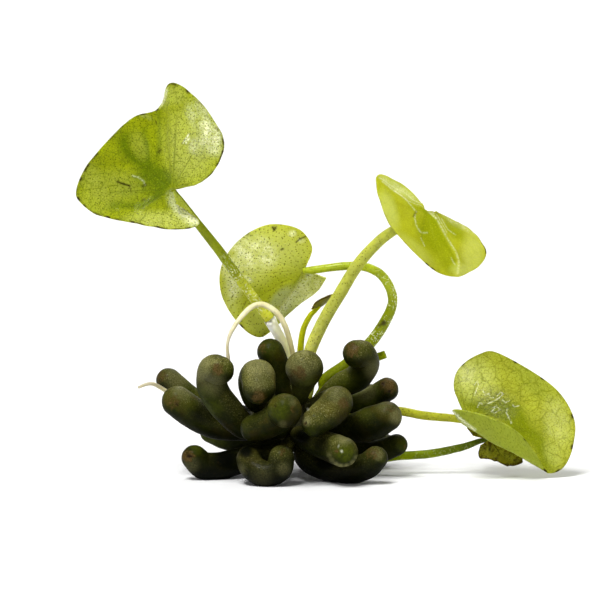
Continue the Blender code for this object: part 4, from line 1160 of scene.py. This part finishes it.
def make_stalks():
    finishes = {
        "stem_upper_left": stalk_skin("stalk_green", (0.70, 0.72, 0.06), (0.23, 0.27, 0.003), 0.6, 0.6),
        "stem_middle": stalk_skin("stalk_bright_green", (0.24, 0.29, 0.001), (0.43, 0.50, 0.020),
                                  0.5, 0.7, (0.48, 0.66), 0.32),
        "stem_upper_right": stalk_skin("stalk_yellow_green", (0.80, 0.80, 0.16), (0.47, 0.49, 0.075), 0.75),
        "stem_young": stalk_skin("stalk_lime", (0.46, 0.50, 0.004), (0.48, 0.50, 0.006), 0.1, 0.3),
        "stem_right": stalk_skin("stalk_straw", (0.38, 0.385, 0.022), (0.39, 0.395, 0.026), 0.8),
        "stem_stub": stalk_skin("stalk_of_stub", (0.42, 0.46, 0.004), (0.24, 0.29, 0.001),
                                0.6, 0.08, (0.30, 0.70)),
        "stem_small_right": stalk_skin("stalk_dark_green", (0.27, 0.35, 0.0010), (0.07, 0.10, 0.003),
                                       0.3, change=(0.35, 1.0))}
    for name, points in STEMS.items():
        make_stalk(name, points, finishes[name], "stalk_skin", from_crown=name != "stem_upper_left")
    sheath = pale_skin("sheath_skin", (1.0, 0.98, 0.45), (1.0, 0.98, 0.62), (1.0, 0.99, 0.86))
    make_stalk("stem_sheath", SHEATH, sheath, "pale_skin", mouth=2.0)
    thread = pale_skin("thread_skin", (0.60, 0.54, 0.22), (1.0, 0.92, 0.56), (0.50, 0.45, 0.30))
    for name, points in THREAD_ROOTS.items():
        make_stalk(name, points, thread, "pale_skin")


def make_blades():
    dotted = leaf_skin("leaf_blade_dotted", (0.315, 0.36, 0.0045), (0.105, 0.155, 0.0006),
                       (0.31, 0.345, 0.040), (0.6, 0.7), (1.45, 0.75, 0.23, (0.070, 0.080, 0.002)))
    wide_dotted = leaf_skin("leaf_blade_wide_dotted", (0.52, 0.54, 0.035), (0.28, 0.33, 0.002),
                            (0.42, 0.45, 0.16), (0.5, 0.16), (1.25, 0.75, 0.21, (0.095, 0.10, 0.003)))
    plain = leaf_skin("leaf_blade_plain", (0.41, 0.425, 0.014), (0.25, 0.29, 0.0005),
                      (0.46, 0.50, 0.09), (0.5, 0.18))
    fine_dotted = leaf_skin("leaf_blade_fine_dotted", (0.42, 0.44, 0.034), (0.20, 0.24, 0.0008),
                            (0.29, 0.34, 0.030), (0.36, 0.65), (1.5, 0.6, 0.20, (0.11, 0.13, 0.004)))
    old = leaf_skin("old_leaf_blade", (0.34, 0.34, 0.020), (0.07, 0.07, 0.001), (0.12, 0.11, 0.010),
                    (0.9, 1.0), (1.2, 0.7, 0.2, (0.02, 0.014, 0.001)), worn=0.8)
    curled = leaf_skin("young_leaf_blade", (0.24, 0.22, 0.035), (0.12, 0.12, 0.010), (0.22, 0.21, 0.060),
                       (0.5, 0.3), worn=0.35)
    make_blade("leaf_upper_left", dotted, "leaf_blade", BIG_BLADE, 1, 0.20, 0.18, 9, 0.9)
    make_blade("leaf_middle", wide_dotted, "leaf_blade", BIG_BLADE, 2, 0.16, 0.15, 9)
    make_blade("leaf_upper_right", plain, "leaf_blade", BIG_BLADE, 3, 0.22, 0.25, 9)
    make_blade("leaf_right", fine_dotted, "leaf_blade", BIG_BLADE, 4, 0.20, 0.12, 9)
    make_blade("leaf_young", curled, "old_leaf_blade", SMALL_BLADE, 5, 0.06, 0.12, 5, 0.8, 0.03)
    make_blade("leaf_small_right", old, "old_leaf_blade", SMALL_BLADE, 6, 0.15, 0.30, 7, 1.0, 0.07)


def main():
    make_camera()
    make_floor()
    make_lights()
    skin = root_skin()
    for number, points in enumerate(BANANA_ROOTS, start=1):
        make_banana_root(number, points, skin)
    make_crown(crown_skin())
    make_stalks()
    make_blades()


main()
